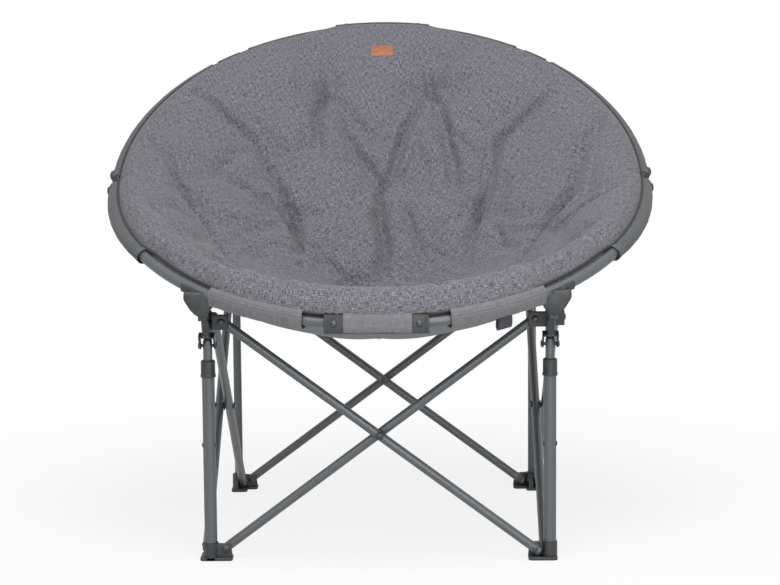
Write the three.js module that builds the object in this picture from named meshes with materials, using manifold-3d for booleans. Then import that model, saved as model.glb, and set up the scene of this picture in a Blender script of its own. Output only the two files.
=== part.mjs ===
// A folding saucer chair: a round padded seat on a hinged rim, over a base of crossed tubes that folds up.
// Millimetres, +Z up, the front of the chair towards -Y, the origin on the floor under its middle.
import * as THREE from 'three';
import { mergeVertices } from 'three/addons/utils/BufferGeometryUtils.js';
import Module from 'manifold-3d';

const wasm = await Module();
wasm.setup();

// Clearances that every joint and seat shares
const seatGap = 0.3;
const pinGap = 0.5;
const cutOverrun = 2;

// Base: four posts on a square, with a crossed pair of tubes on each side
const postSpacing = 586;
const pivotInset = 26;
const footPivotHeight = 20;
const hubPivotRise = 398;
const scissorRadius = 8;
const scissorWall = 1.2;
const scissorEndReach = 10;
const scissorPlugReach = 14;
const crossingGap = 2;
const tubeSides = 10;

// Rivets and bolts
const rivetRadius = 3;
const rivetHeadRadius = 6.5;
const rivetHeadHeight = 3;
const rivetTailRadius = 4.6;
const rivetTailHeight = 1.6;
const crossingHeadRadius = 7;
const crossingHeadHeight = 3.6;
const washerRadius = 8.5;
const pinSides = 8;

// Feet and hubs: plastic mouldings with two lugs each
const lugThickness = 8;
const lugGap = 0.5;
const lugReach = 11.5;
const footBaseHeight = 6;
const footHeight = 31;
const footSocketRadius = 12.9;
const footMargin = 1.6;
const footCornerRadius = 6;
const footCornerSteps = 2;
const hubLugHalfHeight = 13;
const hubBodyRise = 17;
const hubWebThickness = 3;
const hubWebClearance = 0.7;

// Front posts: an inner tube slides out of an outer one through a collar
const outerPostRadius = 11;
const outerPostWall = 1.5;
const outerPostDrop = 58;
const innerPostRadius = 8;
const innerPostWall = 1.2;
const innerPostBottom = 30;
const innerPostDrop = 34;
const innerPostPlug = 18;
const collarRadius = 13.2;
const collarLip = 24;
const collarSkirt = 6;
const postRivetHeight = 202;
const postSides = 12;

// Front hubs stand on the inner posts by a spigot, set back to clear the stubs
const frontHubSetback = 4.5;
const frontHubRadius = 8;
const spigotRadius = 3.4;
const spigotLength = 3.6;

// Front forks: a steel fork pinned through the inner post, with a leaning stub on its bridge
const forkPinDrop = 9;
const forkLean = THREE.MathUtils.degToRad(28);
const forkHalfWidth = 14;
const forkArmThickness = 3;
const forkArmRadius = 7;
const forkBridgeRise = 24;
const forkBridgeThickness = 3;
const forkBridgeFront = 14;
const forkBridgeBack = 2;
const forkHeadRadius = 5.5;
const forkHeadHeight = 2.4;
const stubRadius = 7.7;
const stubForward = 6;
const stubPinRise = 74;
const stubPinOutset = 4;
const stubTopDrop = 18;
const tongueThickness = 8;
const tongueRadius = 7.5;
const tongueDrop = 15;

// Rim: four bent tubes in two planes that meet at the side hinges; angles run from the front centre
const rimRadius = 478;
const frontRimTilt = THREE.MathUtils.degToRad(25);
const backRimTilt = THREE.MathUtils.degToRad(35);
const rimTubeRadius = 9.5;
const rimTubeWall = 1.2;
const rimTubeSides = 8;
const rimSteps = 10;

// Front and back hinge channels, and the knuckles at the sides
const channelPinHalfSpacing = 70;
const channelEndReach = 16;
const channelHalfWidth = 13.2;
const channelWall = 3;
const channelRoof = 12.2;
const channelSkirt = 16;
const channelEarSkirt = 6;
const channelHeadRadius = 5.5;
const channelHeadHeight = 2.2;
const slotOutset = 6;
const frontSlotInset = 75;
const backSlotInset = 103;
const knuckleHalfGap = 15;
const knuckleLength = 32;
const knuckleRadius = 11.8;
const knuckleDomeRadius = 8;
const knuckleDomeRise = 15.4;
const knuckleDomeInset = 10;
const knuckleSteps = 1;

// Front saddles, clamped under the rim over each stub
const saddleCheekThickness = 4;
const saddleCheekGap = 0.5;
const saddleCheekRadius = 9.5;
const saddleWebRise = 11;
const saddleHalfWidth = 17;
const saddleHalfLength = 25;
const saddleOutset = 7.5;
const saddleRimRise = 40.76;
const saddleRimAhead = 25.9;
const frontCradleLean = THREE.MathUtils.degToRad(45.75);
const cradleRadius = 13.4;
const cradleSteps = 2;
const cradleCover = 1;
const saddleHeadRadius = 5;
const saddleHeadHeight = 2;

// Back posts, the swivel pins on their tops and the saddles that turn on them
const backPostRadius = 8;
const backPostWall = 1.2;
const backPostDrop = 22;
const backHubRadius = 12;
const swivelDrop = 30.62;
const backCradleLean = THREE.MathUtils.degToRad(27.37);
const swivelLean = THREE.MathUtils.degToRad(18.09);
const swivelPinRadius = 4.5;
const barrelRadius = 9.6;
const barrelHalfLength = 15;
const barrelDrop = 12;
const swivelShoulder = 9;
const swivelHeadRadius = 5.8;
const swivelHeadHeight = 2;
const socketRadius = 11;
const socketLength = 30;
const socketCap = 3;

// Seat: a fabric shell hung in the rim, and a thick tufted pad on it, both in quarters as the rim is
const bowlFrontDrop = 60;
const bowlBottomAhead = 70;
const frontBowlPower = 2.2;
const backBowlPower = 1.5;
const shellThickness = 2.4;
const sheetEdgeInset = 13.4;
const sleeveRadius = 12;
const saddleNotchHalfLength = 50;
const saddleNotchRadius = 44;
const channelNotchGap = 1.5;
const channelNotchDepth = 60;
const partingShift = 0.25;
const padThickness = 46;
const padFrontExtra = 14;
const padEdgeThickness = 4;
const padEdgeRoll = 36;
const padRestGap = 0.8;
const padRimGap = 1.8;
const tuftDepth = 24;
const tuftSpread = 42;
const seatAround = 10;
const seatAcross = 8;
const padRollRows = 2;
const normalStep = 0.01;
const normalFloorShare = 0.15;

// Trim
const tabWidth = 42;
const tabHeight = 22;
const tabThickness = 2;
const tabInset = 76;
const strapAngle = THREE.MathUtils.degToRad(26);
const strapWidth = 25;
const strapLength = 24;
const strapThickness = 1.6;

const half = postSpacing / 2;
const pivotHalf = half - pivotInset;
const scissorOffset = scissorRadius + crossingGap / 2;
const hubPivotHeight = footPivotHeight + hubPivotRise;
const innerPostTop = hubPivotHeight - innerPostDrop;
const outerPostTop = innerPostTop - outerPostDrop;
const forkPinHeight = innerPostTop - forkPinDrop;
const lugFace = scissorOffset - scissorRadius - lugGap;
const plateFace = scissorOffset + scissorRadius + lugGap;
const lugEnd = pivotInset + lugReach;
const rivetHole = rivetRadius + pinGap;
const upY = new THREE.Vector3(0, 1, 0);
const upright = new THREE.Vector3(0, 0, 1);

const materials = {
  tube: new THREE.MeshStandardMaterial({ color: 0x5d6062, roughness: 0.38, metalness: 0.7 }),
  plastic: new THREE.MeshStandardMaterial({ color: 0x2f3132, roughness: 0.55, metalness: 0 }),
  steel: new THREE.MeshStandardMaterial({ color: 0x4a4d50, roughness: 0.4, metalness: 0.8 }),
  pad: new THREE.MeshStandardMaterial({ color: 0x7b7b80, roughness: 0.95, metalness: 0 }),
  shell: new THREE.MeshStandardMaterial({ color: 0x74757a, roughness: 0.95, metalness: 0 }),
  leather: new THREE.MeshStandardMaterial({ color: 0xb06a3f, roughness: 0.6, metalness: 0 }),
  webbing: new THREE.MeshStandardMaterial({ color: 0x303134, roughness: 0.9, metalness: 0 }),
};

// Turns a closed three.js geometry into a solid that can be joined and cut
function solidOf(geometry) {
  let bare = geometry.clone();
  for (const name of Object.keys(bare.attributes)) {
    if (name !== 'position') bare.deleteAttribute(name);
  }
  bare = mergeVertices(bare);
  const corners = bare.index.array;
  const kept = [];
  for (let i = 0; i < corners.length; i += 3) {
    const [a, b, c] = [corners[i], corners[i + 1], corners[i + 2]];
    if (a !== b && b !== c && c !== a) kept.push(a, b, c);
  }
  const vertProperties = Float32Array.from(bare.attributes.position.array);
  const triVerts = Uint32Array.from(kept);
  return new wasm.Manifold(new wasm.Mesh({ numProp: 3, vertProperties, triVerts }));
}

function geometryOf(solid) {
  const result = solid.getMesh();
  const geometry = new THREE.BufferGeometry();
  geometry.setAttribute('position', new THREE.Float32BufferAttribute(result.vertProperties, 3));
  geometry.setIndex(Array.from(result.triVerts));
  geometry.computeVertexNormals();
  return geometry;
}

const join = (first, ...others) => others.reduce((whole, next) => whole.add(next), first);
const cut = (first, ...tools) => tools.reduce((whole, tool) => whole.subtract(tool), first);
const vector = (x, y, z) => new THREE.Vector3(x, y, z);

function solidUnder(geometry, matrix) {
  geometry.applyMatrix4(matrix);
  return solidOf(geometry);
}

const moved = (solid, matrix) => solidUnder(geometryOf(solid), matrix);

// A round bar between two points
function bar(from, to, radius, sides = tubeSides) {
  const along = to.clone().sub(from);
  const geometry = new THREE.CylinderGeometry(radius, radius, along.length(), sides);
  geometry.applyQuaternion(new THREE.Quaternion().setFromUnitVectors(upY, along.clone().normalize()));
  const middle = from.clone().lerp(to, 1 / 2);
  geometry.translate(middle.x, middle.y, middle.z);
  return solidOf(geometry);
}

function ball(centre, radius, sides) {
  const geometry = new THREE.SphereGeometry(radius, sides, sides / 2);
  geometry.translate(centre.x, centre.y, centre.z);
  return solidOf(geometry);
}

// A box between two opposite corners
function boxGeometry(low, high) {
  const size = high.clone().sub(low);
  const geometry = new THREE.BoxGeometry(size.x, size.y, size.z);
  const middle = low.clone().lerp(high, 1 / 2);
  geometry.translate(middle.x, middle.y, middle.z);
  return geometry;
}

const block = (low, high) => solidOf(boxGeometry(low, high));

// A flat outline in x and y given thickness upwards
function slab(shape, low, high, curveSegments) {
  const options = { depth: high - low, bevelEnabled: false, curveSegments };
  const geometry = new THREE.ExtrudeGeometry(shape, options);
  geometry.translate(0, 0, low);
  return geometry;
}

const alongX = new THREE.Matrix4().makeBasis(vector(0, 1, 0), vector(0, 0, 1), vector(1, 0, 0));

// A plate across x, whose outline runs round the given points in y and z
function plateX(points, low, high) {
  const middle = points.reduce((sum, p) => sum.add(p), new THREE.Vector2()).divideScalar(points.length);
  const turn = (p) => Math.atan2(p.y - middle.y, p.x - middle.x);
  const outline = [...points].sort((a, b) => turn(a) - turn(b));
  return solidUnder(slab(new THREE.Shape(outline), low, high, 1), alongX);
}

function roundedOutline(lowX, lowY, highX, highY, radius) {
  const shape = new THREE.Shape();
  const quarter = Math.PI / 2;
  shape.moveTo(lowX + radius, lowY);
  shape.lineTo(highX - radius, lowY);
  shape.absarc(highX - radius, lowY + radius, radius, -quarter, 0);
  shape.lineTo(highX, highY - radius);
  shape.absarc(highX - radius, highY - radius, radius, 0, quarter);
  shape.lineTo(lowX + radius, highY);
  shape.absarc(lowX + radius, highY - radius, radius, quarter, 2 * quarter);
  shape.lineTo(lowX, lowY + radius);
  shape.absarc(lowX + radius, lowY + radius, radius, 2 * quarter, 3 * quarter);
  return shape;
}

// Skins a closed run of triangles, turned outwards
function closedGeometry(points, index) {
  let volume = 0;
  for (let i = 0; i < index.length; i += 3) {
    const [a, b, c] = [points[index[i]], points[index[i + 1]], points[index[i + 2]]];
    volume += a.dot(b.clone().cross(c));
  }
  if (volume < 0) index.reverse();
  const geometry = new THREE.BufferGeometry();
  const places = points.flatMap((p) => p.toArray());
  geometry.setAttribute('position', new THREE.Float32BufferAttribute(places, 3));
  geometry.setIndex(index);
  return geometry;
}

// A solid through a row of rings, with a fan at each end
function loft(rings) {
  const sides = rings[0].length;
  const points = rings.flat();
  const index = [];
  for (let i = 0; i < rings.length - 1; i++) {
    for (let j = 0; j < sides; j++) {
      const a = i * sides + j;
      const b = i * sides + (j + 1) % sides;
      index.push(a, b, b + sides, a, b + sides, a + sides);
    }
  }
  const centreOf = (ring) => ring.reduce((sum, p) => sum.add(p), vector(0, 0, 0)).divideScalar(sides);
  const start = points.length;
  points.push(centreOf(rings[0]), centreOf(rings[rings.length - 1]));
  const last = (rings.length - 1) * sides;
  for (let j = 0; j < sides; j++) {
    const next = (j + 1) % sides;
    index.push(start, next, j, start + 1, last + j, last + next);
  }
  return closedGeometry(points, index);
}

// A solid between two grids of points of one size
function thickSheet(top, bottom) {
  const rows = top.length;
  const columns = top[0].length;
  const points = [...top.flat(), ...bottom.flat()];
  const under = rows * columns;
  const index = [];
  const quad = (a, b, c, d) => index.push(a, b, c, a, c, d);
  for (let i = 0; i < rows - 1; i++) {
    for (let j = 0; j < columns - 1; j++) {
      const a = i * columns + j;
      quad(a, a + 1, a + columns + 1, a + columns);
      quad(under + a, under + a + columns, under + a + columns + 1, under + a + 1);
    }
  }
  const wall = (a, b) => quad(b, a, a + under, b + under);
  for (let j = 0; j < columns - 1; j++) {
    wall(j, j + 1);
    wall((rows - 1) * columns + j + 1, (rows - 1) * columns + j);
  }
  for (let i = 0; i < rows - 1; i++) {
    wall((i + 1) * columns, i * columns);
    wall(i * columns + columns - 1, (i + 1) * columns + columns - 1);
  }
  return closedGeometry(points, index);
}

const chair = new THREE.Group();

// Adds one named piece, drawn in its own frame and placed by a matrix
function addPiece(name, solid, material, matrix = new THREE.Matrix4()) {
  const geometry = geometryOf(solid).applyMatrix4(matrix);
  if (matrix.determinant() < 0) geometry.index.array.reverse();
  geometry.computeVertexNormals();
  const piece = new THREE.Mesh(geometry, material);
  piece.name = name;
  chair.add(piece);
}

// The four corners, each the front left one turned on about the middle of the base
const corners = [
  { name: 'front_left', turns: 0, front: true },
  { name: 'back_left', turns: 1, front: false },
  { name: 'back_right', turns: 2, front: false },
  { name: 'front_right', turns: 3, front: true },
];
const turnOf = (turns) => new THREE.Matrix4().makeRotationZ(-turns * Math.PI / 2);
const cornerMatrix = (turns) => turnOf(turns).multiply(new THREE.Matrix4().makeTranslation(-half, -half, 0));

// The left side and its mirror image
const hands = [
  { name: 'left', matrix: new THREE.Matrix4() },
  { name: 'right', matrix: new THREE.Matrix4().makeScale(-1, 1, 1) },
];
const handed = (hand, x, y) => hand.matrix.clone().multiply(new THREE.Matrix4().makeTranslation(x, y, 0));

// Foot, drawn round its post's axis: one lug faces each scissor tube that ends here
function footSolid(postRadius) {
  const outside = scissorOffset + scissorRadius + footMargin;
  const overTop = footHeight + cutOverrun;
  const wide = roundedOutline(-footSocketRadius, -footSocketRadius, lugEnd, outside, footCornerRadius);
  const long = roundedOutline(-outside, -footSocketRadius, footSocketRadius, lugEnd, footCornerRadius);
  const whole = join(
    solidOf(slab(wide, 0, footBaseHeight, footCornerSteps)),
    solidOf(slab(long, 0, footBaseHeight, footCornerSteps)),
    bar(vector(0, 0, 0), vector(0, 0, footHeight), footSocketRadius, postSides),
    block(vector(0, lugFace - lugThickness, 0), vector(lugEnd, lugFace, footHeight)),
    block(vector(-lugFace, 0, 0), vector(lugThickness - lugFace, lugEnd, footHeight)),
  );
  const acrossHole = (y) => vector(pivotInset, y, footPivotHeight);
  const alongHole = (x) => vector(x, pivotInset, footPivotHeight);
  return cut(
    whole,
    bar(vector(0, 0, footBaseHeight), vector(0, 0, overTop), postRadius + seatGap, postSides),
    bar(acrossHole(-outside), acrossHole(outside), rivetHole, pinSides),
    bar(alongHole(-outside), alongHole(outside), rivetHole, pinSides),
  );
}

// The lugs of a hub, drawn round its post's axis and grown from a body whose middle is given
function hubSolid(body, bodyMiddle) {
  const low = hubPivotHeight - hubLugHalfHeight;
  const high = hubPivotHeight + hubLugHalfHeight;
  const webFar = pivotInset - Math.hypot(scissorEndReach, scissorRadius) - hubWebClearance;
  const webNear = webFar - hubWebThickness;
  const plateFar = plateFace + lugThickness;
  const insideFace = bodyMiddle.y + lugFace;
  const insideLow = vector(bodyMiddle.x, bodyMiddle.y - lugThickness / 2, low);
  const whole = join(
    body,
    block(vector(webNear, -plateFar, low), vector(lugEnd, -plateFace, high)),
    block(vector(webNear, -plateFar, low), vector(webFar, insideFace, high)),
    block(insideLow, vector(webFar, insideFace, high)),
    block(vector(lugFace - lugThickness, bodyMiddle.y, low), vector(lugFace, lugEnd, high)),
  );
  const acrossFrom = vector(pivotInset, -plateFar - cutOverrun, hubPivotHeight);
  const alongFrom = vector(-plateFar, pivotInset, hubPivotHeight);
  return cut(
    whole,
    bar(acrossFrom, vector(pivotInset, plateFar, hubPivotHeight), rivetHole, pinSides),
    bar(alongFrom, vector(plateFar, pivotInset, hubPivotHeight), rivetHole, pinSides),
  );
}

for (const corner of corners) {
  const postRadius = corner.front ? outerPostRadius : backPostRadius;
  addPiece(`foot_${corner.name}`, footSolid(postRadius), materials.plastic, cornerMatrix(corner.turns));
}

// Front hubs: the body is set back on both, so on the right its place is turned before the lugs are
for (const corner of corners.filter((item) => item.front)) {
  const middle = vector(0, frontHubSetback, 0).applyMatrix4(turnOf(corner.turns).invert());
  const base = innerPostTop + seatGap;
  const top = hubPivotHeight + hubBodyRise;
  const body = join(
    bar(vector(middle.x, middle.y, base), vector(middle.x, middle.y, top), frontHubRadius, postSides),
    bar(vector(0, 0, base - spigotLength), vector(0, 0, base + spigotLength), spigotRadius, pinSides),
  );
  addPiece(`hub_${corner.name}`, hubSolid(body, middle), materials.plastic, cornerMatrix(corner.turns));
}

for (const corner of corners.filter((item) => !item.front)) {
  const low = innerPostTop;
  const high = hubPivotHeight + hubBodyRise;
  const slideRadius = backPostRadius + pinGap;
  const body = bar(vector(0, 0, low), vector(0, 0, high), backHubRadius, postSides);
  const bore = bar(vector(0, 0, low - cutOverrun), vector(0, 0, high + cutOverrun), slideRadius, postSides);
  addPiece(`hub_${corner.name}`, cut(hubSolid(body, vector(0, 0, 0)), bore), materials.plastic,
    cornerMatrix(corner.turns));
}

// A scissor tube drawn on the front side, from its foot pivot to its hub pivot, with its two end rivets
function scissorSolid(plane, footX, footLugFar, hubLugFar) {
  const low = vector(footX, plane, footPivotHeight);
  const high = vector(-footX, plane, hubPivotHeight);
  const along = high.clone().sub(low).normalize();
  const reach = along.clone().multiplyScalar(scissorEndReach);
  const plugReach = along.clone().multiplyScalar(scissorPlugReach);
  const outer = bar(low.clone().sub(reach), high.clone().add(reach), scissorRadius);
  const inner = bar(low.clone().add(plugReach), high.clone().sub(plugReach), scissorRadius - scissorWall);
  const middle = low.clone().lerp(high, 1 / 2);
  const holeReach = scissorRadius + cutOverrun;
  const holeAt = (y) => middle.clone().setY(y);
  const hole = bar(holeAt(plane - holeReach), holeAt(plane + holeReach), rivetHole, pinSides);
  let whole = cut(outer, inner, hole);
  for (const [pivot, lugFar] of [[low, footLugFar], [high, hubLugFar]]) {
    const way = Math.sign(lugFar - plane);
    const headNear = lugFar + way * seatGap;
    const headFar = headNear + way * rivetHeadHeight;
    const tailFar = plane - way * (scissorRadius + rivetTailHeight);
    const at = (y) => pivot.clone().setY(y);
    whole = join(
      whole,
      bar(at(plane), at(headNear + way * rivetHeadHeight / 2), rivetRadius, pinSides),
      bar(at(headNear), at(headFar), rivetHeadRadius, pinSides),
      bar(at(plane), at(tailFar), rivetTailRadius, pinSides),
    );
  }
  return whole;
}

const sides = [
  { name: 'front', turns: 0 },
  { name: 'left', turns: 1 },
  { name: 'back', turns: 2 },
  { name: 'right', turns: 3 },
];
const insideLugFar = lugFace - lugThickness;
for (const side of sides) {
  const matrix = turnOf(side.turns).multiply(new THREE.Matrix4().makeTranslation(0, -half, 0));
  const outer = scissorSolid(-scissorOffset, pivotHalf, -insideLugFar, -plateFace - lugThickness);
  const inner = scissorSolid(scissorOffset, -pivotHalf, insideLugFar, insideLugFar);
  addPiece(`scissor_${side.name}_outer`, outer, materials.tube, matrix);
  addPiece(`scissor_${side.name}_inner`, inner, materials.tube, matrix);
  const height = (footPivotHeight + hubPivotHeight) / 2;
  const at = (y) => vector(0, y, height);
  const headNear = scissorOffset + scissorRadius + seatGap;
  const headFar = headNear + crossingHeadHeight;
  const washerHalf = crossingGap / 2 - seatGap;
  const bolt = join(
    bar(at(-headFar + seatGap), at(headFar - seatGap), rivetRadius, pinSides),
    bar(at(headNear), at(headFar), crossingHeadRadius, pinSides),
    bar(at(-headFar), at(-headNear), crossingHeadRadius, pinSides),
    bar(at(-washerHalf), at(washerHalf), washerRadius, tubeSides),
  );
  addPiece(`crossing_bolt_${side.name}`, bolt, materials.steel, matrix);
}

// Front posts, drawn round their axis
const postBase = footBaseHeight + seatGap;
for (const hand of hands) {
  const place = handed(hand, -half, -half);
  const rivetReach = outerPostRadius + rivetTailHeight;
  const rivetRoot = outerPostRadius - outerPostWall / 2;
  const onAxis = (z) => vector(0, 0, z);
  const across = (x) => vector(x, 0, postRivetHeight);
  const outerBore = outerPostRadius - outerPostWall;
  const outerPost = join(
    cut(
      bar(onAxis(postBase), onAxis(outerPostTop), outerPostRadius, postSides),
      bar(onAxis(postBase - cutOverrun), onAxis(outerPostTop + cutOverrun), outerBore, postSides),
    ),
    bar(across(rivetRoot), across(rivetReach), rivetTailRadius, pinSides),
    bar(across(-rivetReach), across(-rivetRoot), rivetTailRadius, pinSides),
  );
  addPiece(`outer_post_front_${hand.name}`, outerPost, materials.tube, place);

  const collarLow = outerPostTop - collarSkirt;
  const collarHigh = outerPostTop + collarLip;
  const collar = cut(
    bar(onAxis(collarLow), onAxis(collarHigh), collarRadius, postSides),
    bar(onAxis(collarLow - cutOverrun), onAxis(outerPostTop + seatGap), outerPostRadius + seatGap, postSides),
    bar(onAxis(collarLow), onAxis(collarHigh + cutOverrun), innerPostRadius + seatGap, postSides),
  );
  addPiece(`collar_front_${hand.name}`, collar, materials.plastic, place);

  const boreTop = innerPostTop - innerPostPlug;
  const innerBore = innerPostRadius - innerPostWall;
  const spigotHole = spigotRadius + seatGap;
  const forkPinAt = (x) => vector(x, 0, forkPinHeight);
  const innerPost = cut(
    bar(onAxis(innerPostBottom), onAxis(innerPostTop), innerPostRadius, postSides),
    bar(onAxis(innerPostBottom - cutOverrun), onAxis(boreTop), innerBore, postSides),
    bar(onAxis(innerPostTop - spigotLength), onAxis(innerPostTop + cutOverrun), spigotHole, pinSides),
    bar(forkPinAt(-outerPostRadius), forkPinAt(outerPostRadius), rivetHole, pinSides),
  );
  addPiece(`inner_post_front_${hand.name}`, innerPost, materials.tube, place);
}

// Front forks, drawn upright round their pin and leant forward
const leanMatrix = new THREE.Matrix4().makeTranslation(0, 0, forkPinHeight)
  .multiply(new THREE.Matrix4().makeRotationX(forkLean));
const stubPinPoint = vector(-stubPinOutset, -stubForward, stubPinRise).applyMatrix4(leanMatrix);

function forkSolid() {
  const bridgeTop = forkBridgeRise + forkBridgeThickness;
  const arm = (low, high) => join(
    bar(vector(low, 0, 0), vector(high, 0, 0), forkArmRadius, tubeSides),
    plateX([
      new THREE.Vector2(-forkArmRadius, 0),
      new THREE.Vector2(forkArmRadius, 0),
      new THREE.Vector2(forkBridgeBack, bridgeTop),
      new THREE.Vector2(-forkBridgeFront, bridgeTop),
    ], low, high),
  );
  const armInside = forkHalfWidth - forkArmThickness;
  const headFar = forkHalfWidth + forkHeadHeight;
  const bridgeLow = vector(-forkHalfWidth, -forkBridgeFront, forkBridgeRise);
  const bridgeHigh = vector(forkHalfWidth, forkBridgeBack, bridgeTop);
  const across = (x) => vector(x, 0, 0);
  const onStub = (z) => vector(0, -stubForward, z);
  const unleant = join(
    arm(-forkHalfWidth, -armInside),
    arm(armInside, forkHalfWidth),
    block(bridgeLow, bridgeHigh),
    bar(across(-headFar), across(headFar), rivetRadius, pinSides),
    bar(across(forkHalfWidth), across(headFar), forkHeadRadius, pinSides),
    bar(across(-headFar), across(-forkHalfWidth), forkHeadRadius, pinSides),
    bar(onStub(forkBridgeRise), onStub(stubPinRise - stubTopDrop), stubRadius),
  );
  const leaning = moved(unleant, leanMatrix);
  const pin = stubPinPoint;
  const halfTongue = tongueThickness / 2;
  const neckRoom = block(
    vector(-tongueDrop, pin.y - halfTongue, pin.z - 2 * tongueDrop),
    vector(tongueDrop, pin.y + halfTongue, pin.z),
  );
  const wholeStub = bar(onStub(forkBridgeRise), onStub(stubPinRise), stubRadius);
  const neck = moved(wholeStub, leanMatrix).intersect(neckRoom);
  const tongueLow = vector(pin.x - tongueRadius, pin.y - halfTongue, pin.z - tongueDrop);
  const tongueHigh = vector(pin.x + tongueRadius, pin.y + halfTongue, pin.z);
  const onPin = (distance) => vector(pin.x, pin.y + distance, pin.z);
  const tongue = join(
    neck,
    block(tongueLow, tongueHigh),
    bar(onPin(-halfTongue), onPin(halfTongue), tongueRadius),
  );
  const hole = bar(onPin(-tongueThickness), onPin(tongueThickness), rivetHole, pinSides);
  return cut(join(leaning, tongue), hole);
}

for (const hand of hands) {
  addPiece(`fork_front_${hand.name}`, forkSolid(), materials.steel, handed(hand, -half, -half));
}

// The front saddles turn on the stubs' pins, and carry the rim above and ahead of them
const rollPoint = stubPinPoint.clone().add(vector(-half, -half, 0));
const frontSaddleAngle = Math.asin((saddleOutset - rollPoint.x) / rimRadius);
const saddleAhead = rimRadius * Math.cos(frontSaddleAngle);
const rimHingeSetback = rollPoint.y - saddleRimAhead + saddleAhead * Math.cos(frontRimTilt);
const rimHingeHeight = rollPoint.z + saddleRimRise + saddleAhead * Math.sin(frontRimTilt);

// Rim geometry: a point of its centre line, the way along it, the way out of it and the way off its plane
const tiltAt = (angle) => (Math.cos(angle) > 0 ? frontRimTilt : backRimTilt);

function rimPoint(angle) {
  const tilt = tiltAt(angle);
  const ahead = -rimRadius * Math.cos(angle);
  return vector(-rimRadius * Math.sin(angle), rimHingeSetback + ahead * Math.cos(tilt),
    rimHingeHeight + ahead * Math.sin(tilt));
}

function rimAxes(angle) {
  const tilt = tiltAt(angle);
  const along = vector(-Math.cos(angle), Math.sin(angle) * Math.cos(tilt), Math.sin(angle) * Math.sin(tilt));
  const out = vector(-Math.sin(angle), -Math.cos(angle) * Math.cos(tilt), -Math.cos(angle) * Math.sin(tilt));
  return { along, out, off: vector(0, -Math.sin(tilt), Math.cos(tilt)) };
}

function rimTube(from, to, radius, steps) {
  const rings = [];
  for (let i = 0; i <= steps; i++) {
    const angle = from + (to - from) * i / steps;
    const centre = rimPoint(angle);
    const { out, off } = rimAxes(angle);
    const ring = [];
    for (let j = 0; j < rimTubeSides; j++) {
      const round = 2 * Math.PI * (j + 1 / 2) / rimTubeSides;
      ring.push(centre.clone()
        .addScaledVector(out, radius * Math.cos(round))
        .addScaledVector(off, radius * Math.sin(round)));
    }
    rings.push(ring);
  }
  return solidOf(loft(rings));
}

const angleOf = (length) => length / rimRadius;
const quarterTurn = Math.PI / 2;
const pinAngle = Math.asin(channelPinHalfSpacing / rimRadius);
const knuckleAngle = angleOf(knuckleHalfGap);
const swivelAxis = vector(0, Math.sin(swivelLean), Math.cos(swivelLean));
const frontPinAxis = vector(0, 1, 0);

// The left quarters of the rim; the right ones are their mirror images
const quarters = [
  { name: 'front', from: pinAngle, to: quarterTurn - knuckleAngle, pinAxis: frontPinAxis },
  { name: 'back', from: 2 * quarterTurn - pinAngle, to: quarterTurn + knuckleAngle, pinAxis: swivelAxis },
];

for (const quarter of quarters) {
  quarter.bore = rimTube(quarter.from, quarter.to, rimTubeRadius + seatGap, rimSteps);
  const pinPoint = rimPoint(quarter.from);
  const way = Math.sign(quarter.to - quarter.from);
  const headNear = channelHalfWidth + channelWall + seatGap;
  const headFar = headNear + channelHeadHeight;
  const off = (distance) => pinPoint.clone().addScaledVector(quarter.pinAxis, distance);
  const plugEnd = quarter.from + way * angleOf(rimTubeRadius + channelEndReach);
  const tube = join(
    cut(
      rimTube(quarter.from, quarter.to, rimTubeRadius, rimSteps),
      rimTube(plugEnd, quarter.to + way * knuckleAngle / 2, rimTubeRadius - rimTubeWall, rimSteps),
    ),
    ball(pinPoint, rimTubeRadius, rimTubeSides),
    bar(off(-headFar), off(headFar), rivetRadius, pinSides),
    bar(off(headNear), off(headFar), channelHeadRadius, pinSides),
    bar(off(-headFar), off(-headNear), channelHeadRadius, pinSides),
  );
  for (const hand of hands) addPiece(`rim_${quarter.name}_${hand.name}`, tube, materials.tube, hand.matrix);

  const knuckleStart = quarter.to - way * angleOf(knuckleLength);
  const domeAngle = quarter.to - way * angleOf(knuckleDomeInset);
  const domeRoot = rimPoint(domeAngle);
  const domeEnd = domeRoot.clone().addScaledVector(rimAxes(domeAngle).out, knuckleDomeRise);
  const tubeEnd = rimPoint(quarter.to);
  const beyond = rimAxes(quarter.to).along.multiplyScalar(way * seatGap);
  const knuckle = cut(
    join(
      rimTube(knuckleStart, quarter.to, knuckleRadius, knuckleSteps),
      ball(tubeEnd, knuckleRadius, rimTubeSides),
      bar(domeRoot, domeEnd, knuckleDomeRadius, pinSides),
    ),
    quarter.bore,
    bar(tubeEnd.clone().sub(beyond), tubeEnd.clone().add(beyond), rimTubeRadius, tubeSides),
  );
  for (const hand of hands) {
    addPiece(`knuckle_${quarter.name}_${hand.name}`, knuckle, materials.plastic, hand.matrix);
  }
}

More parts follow.
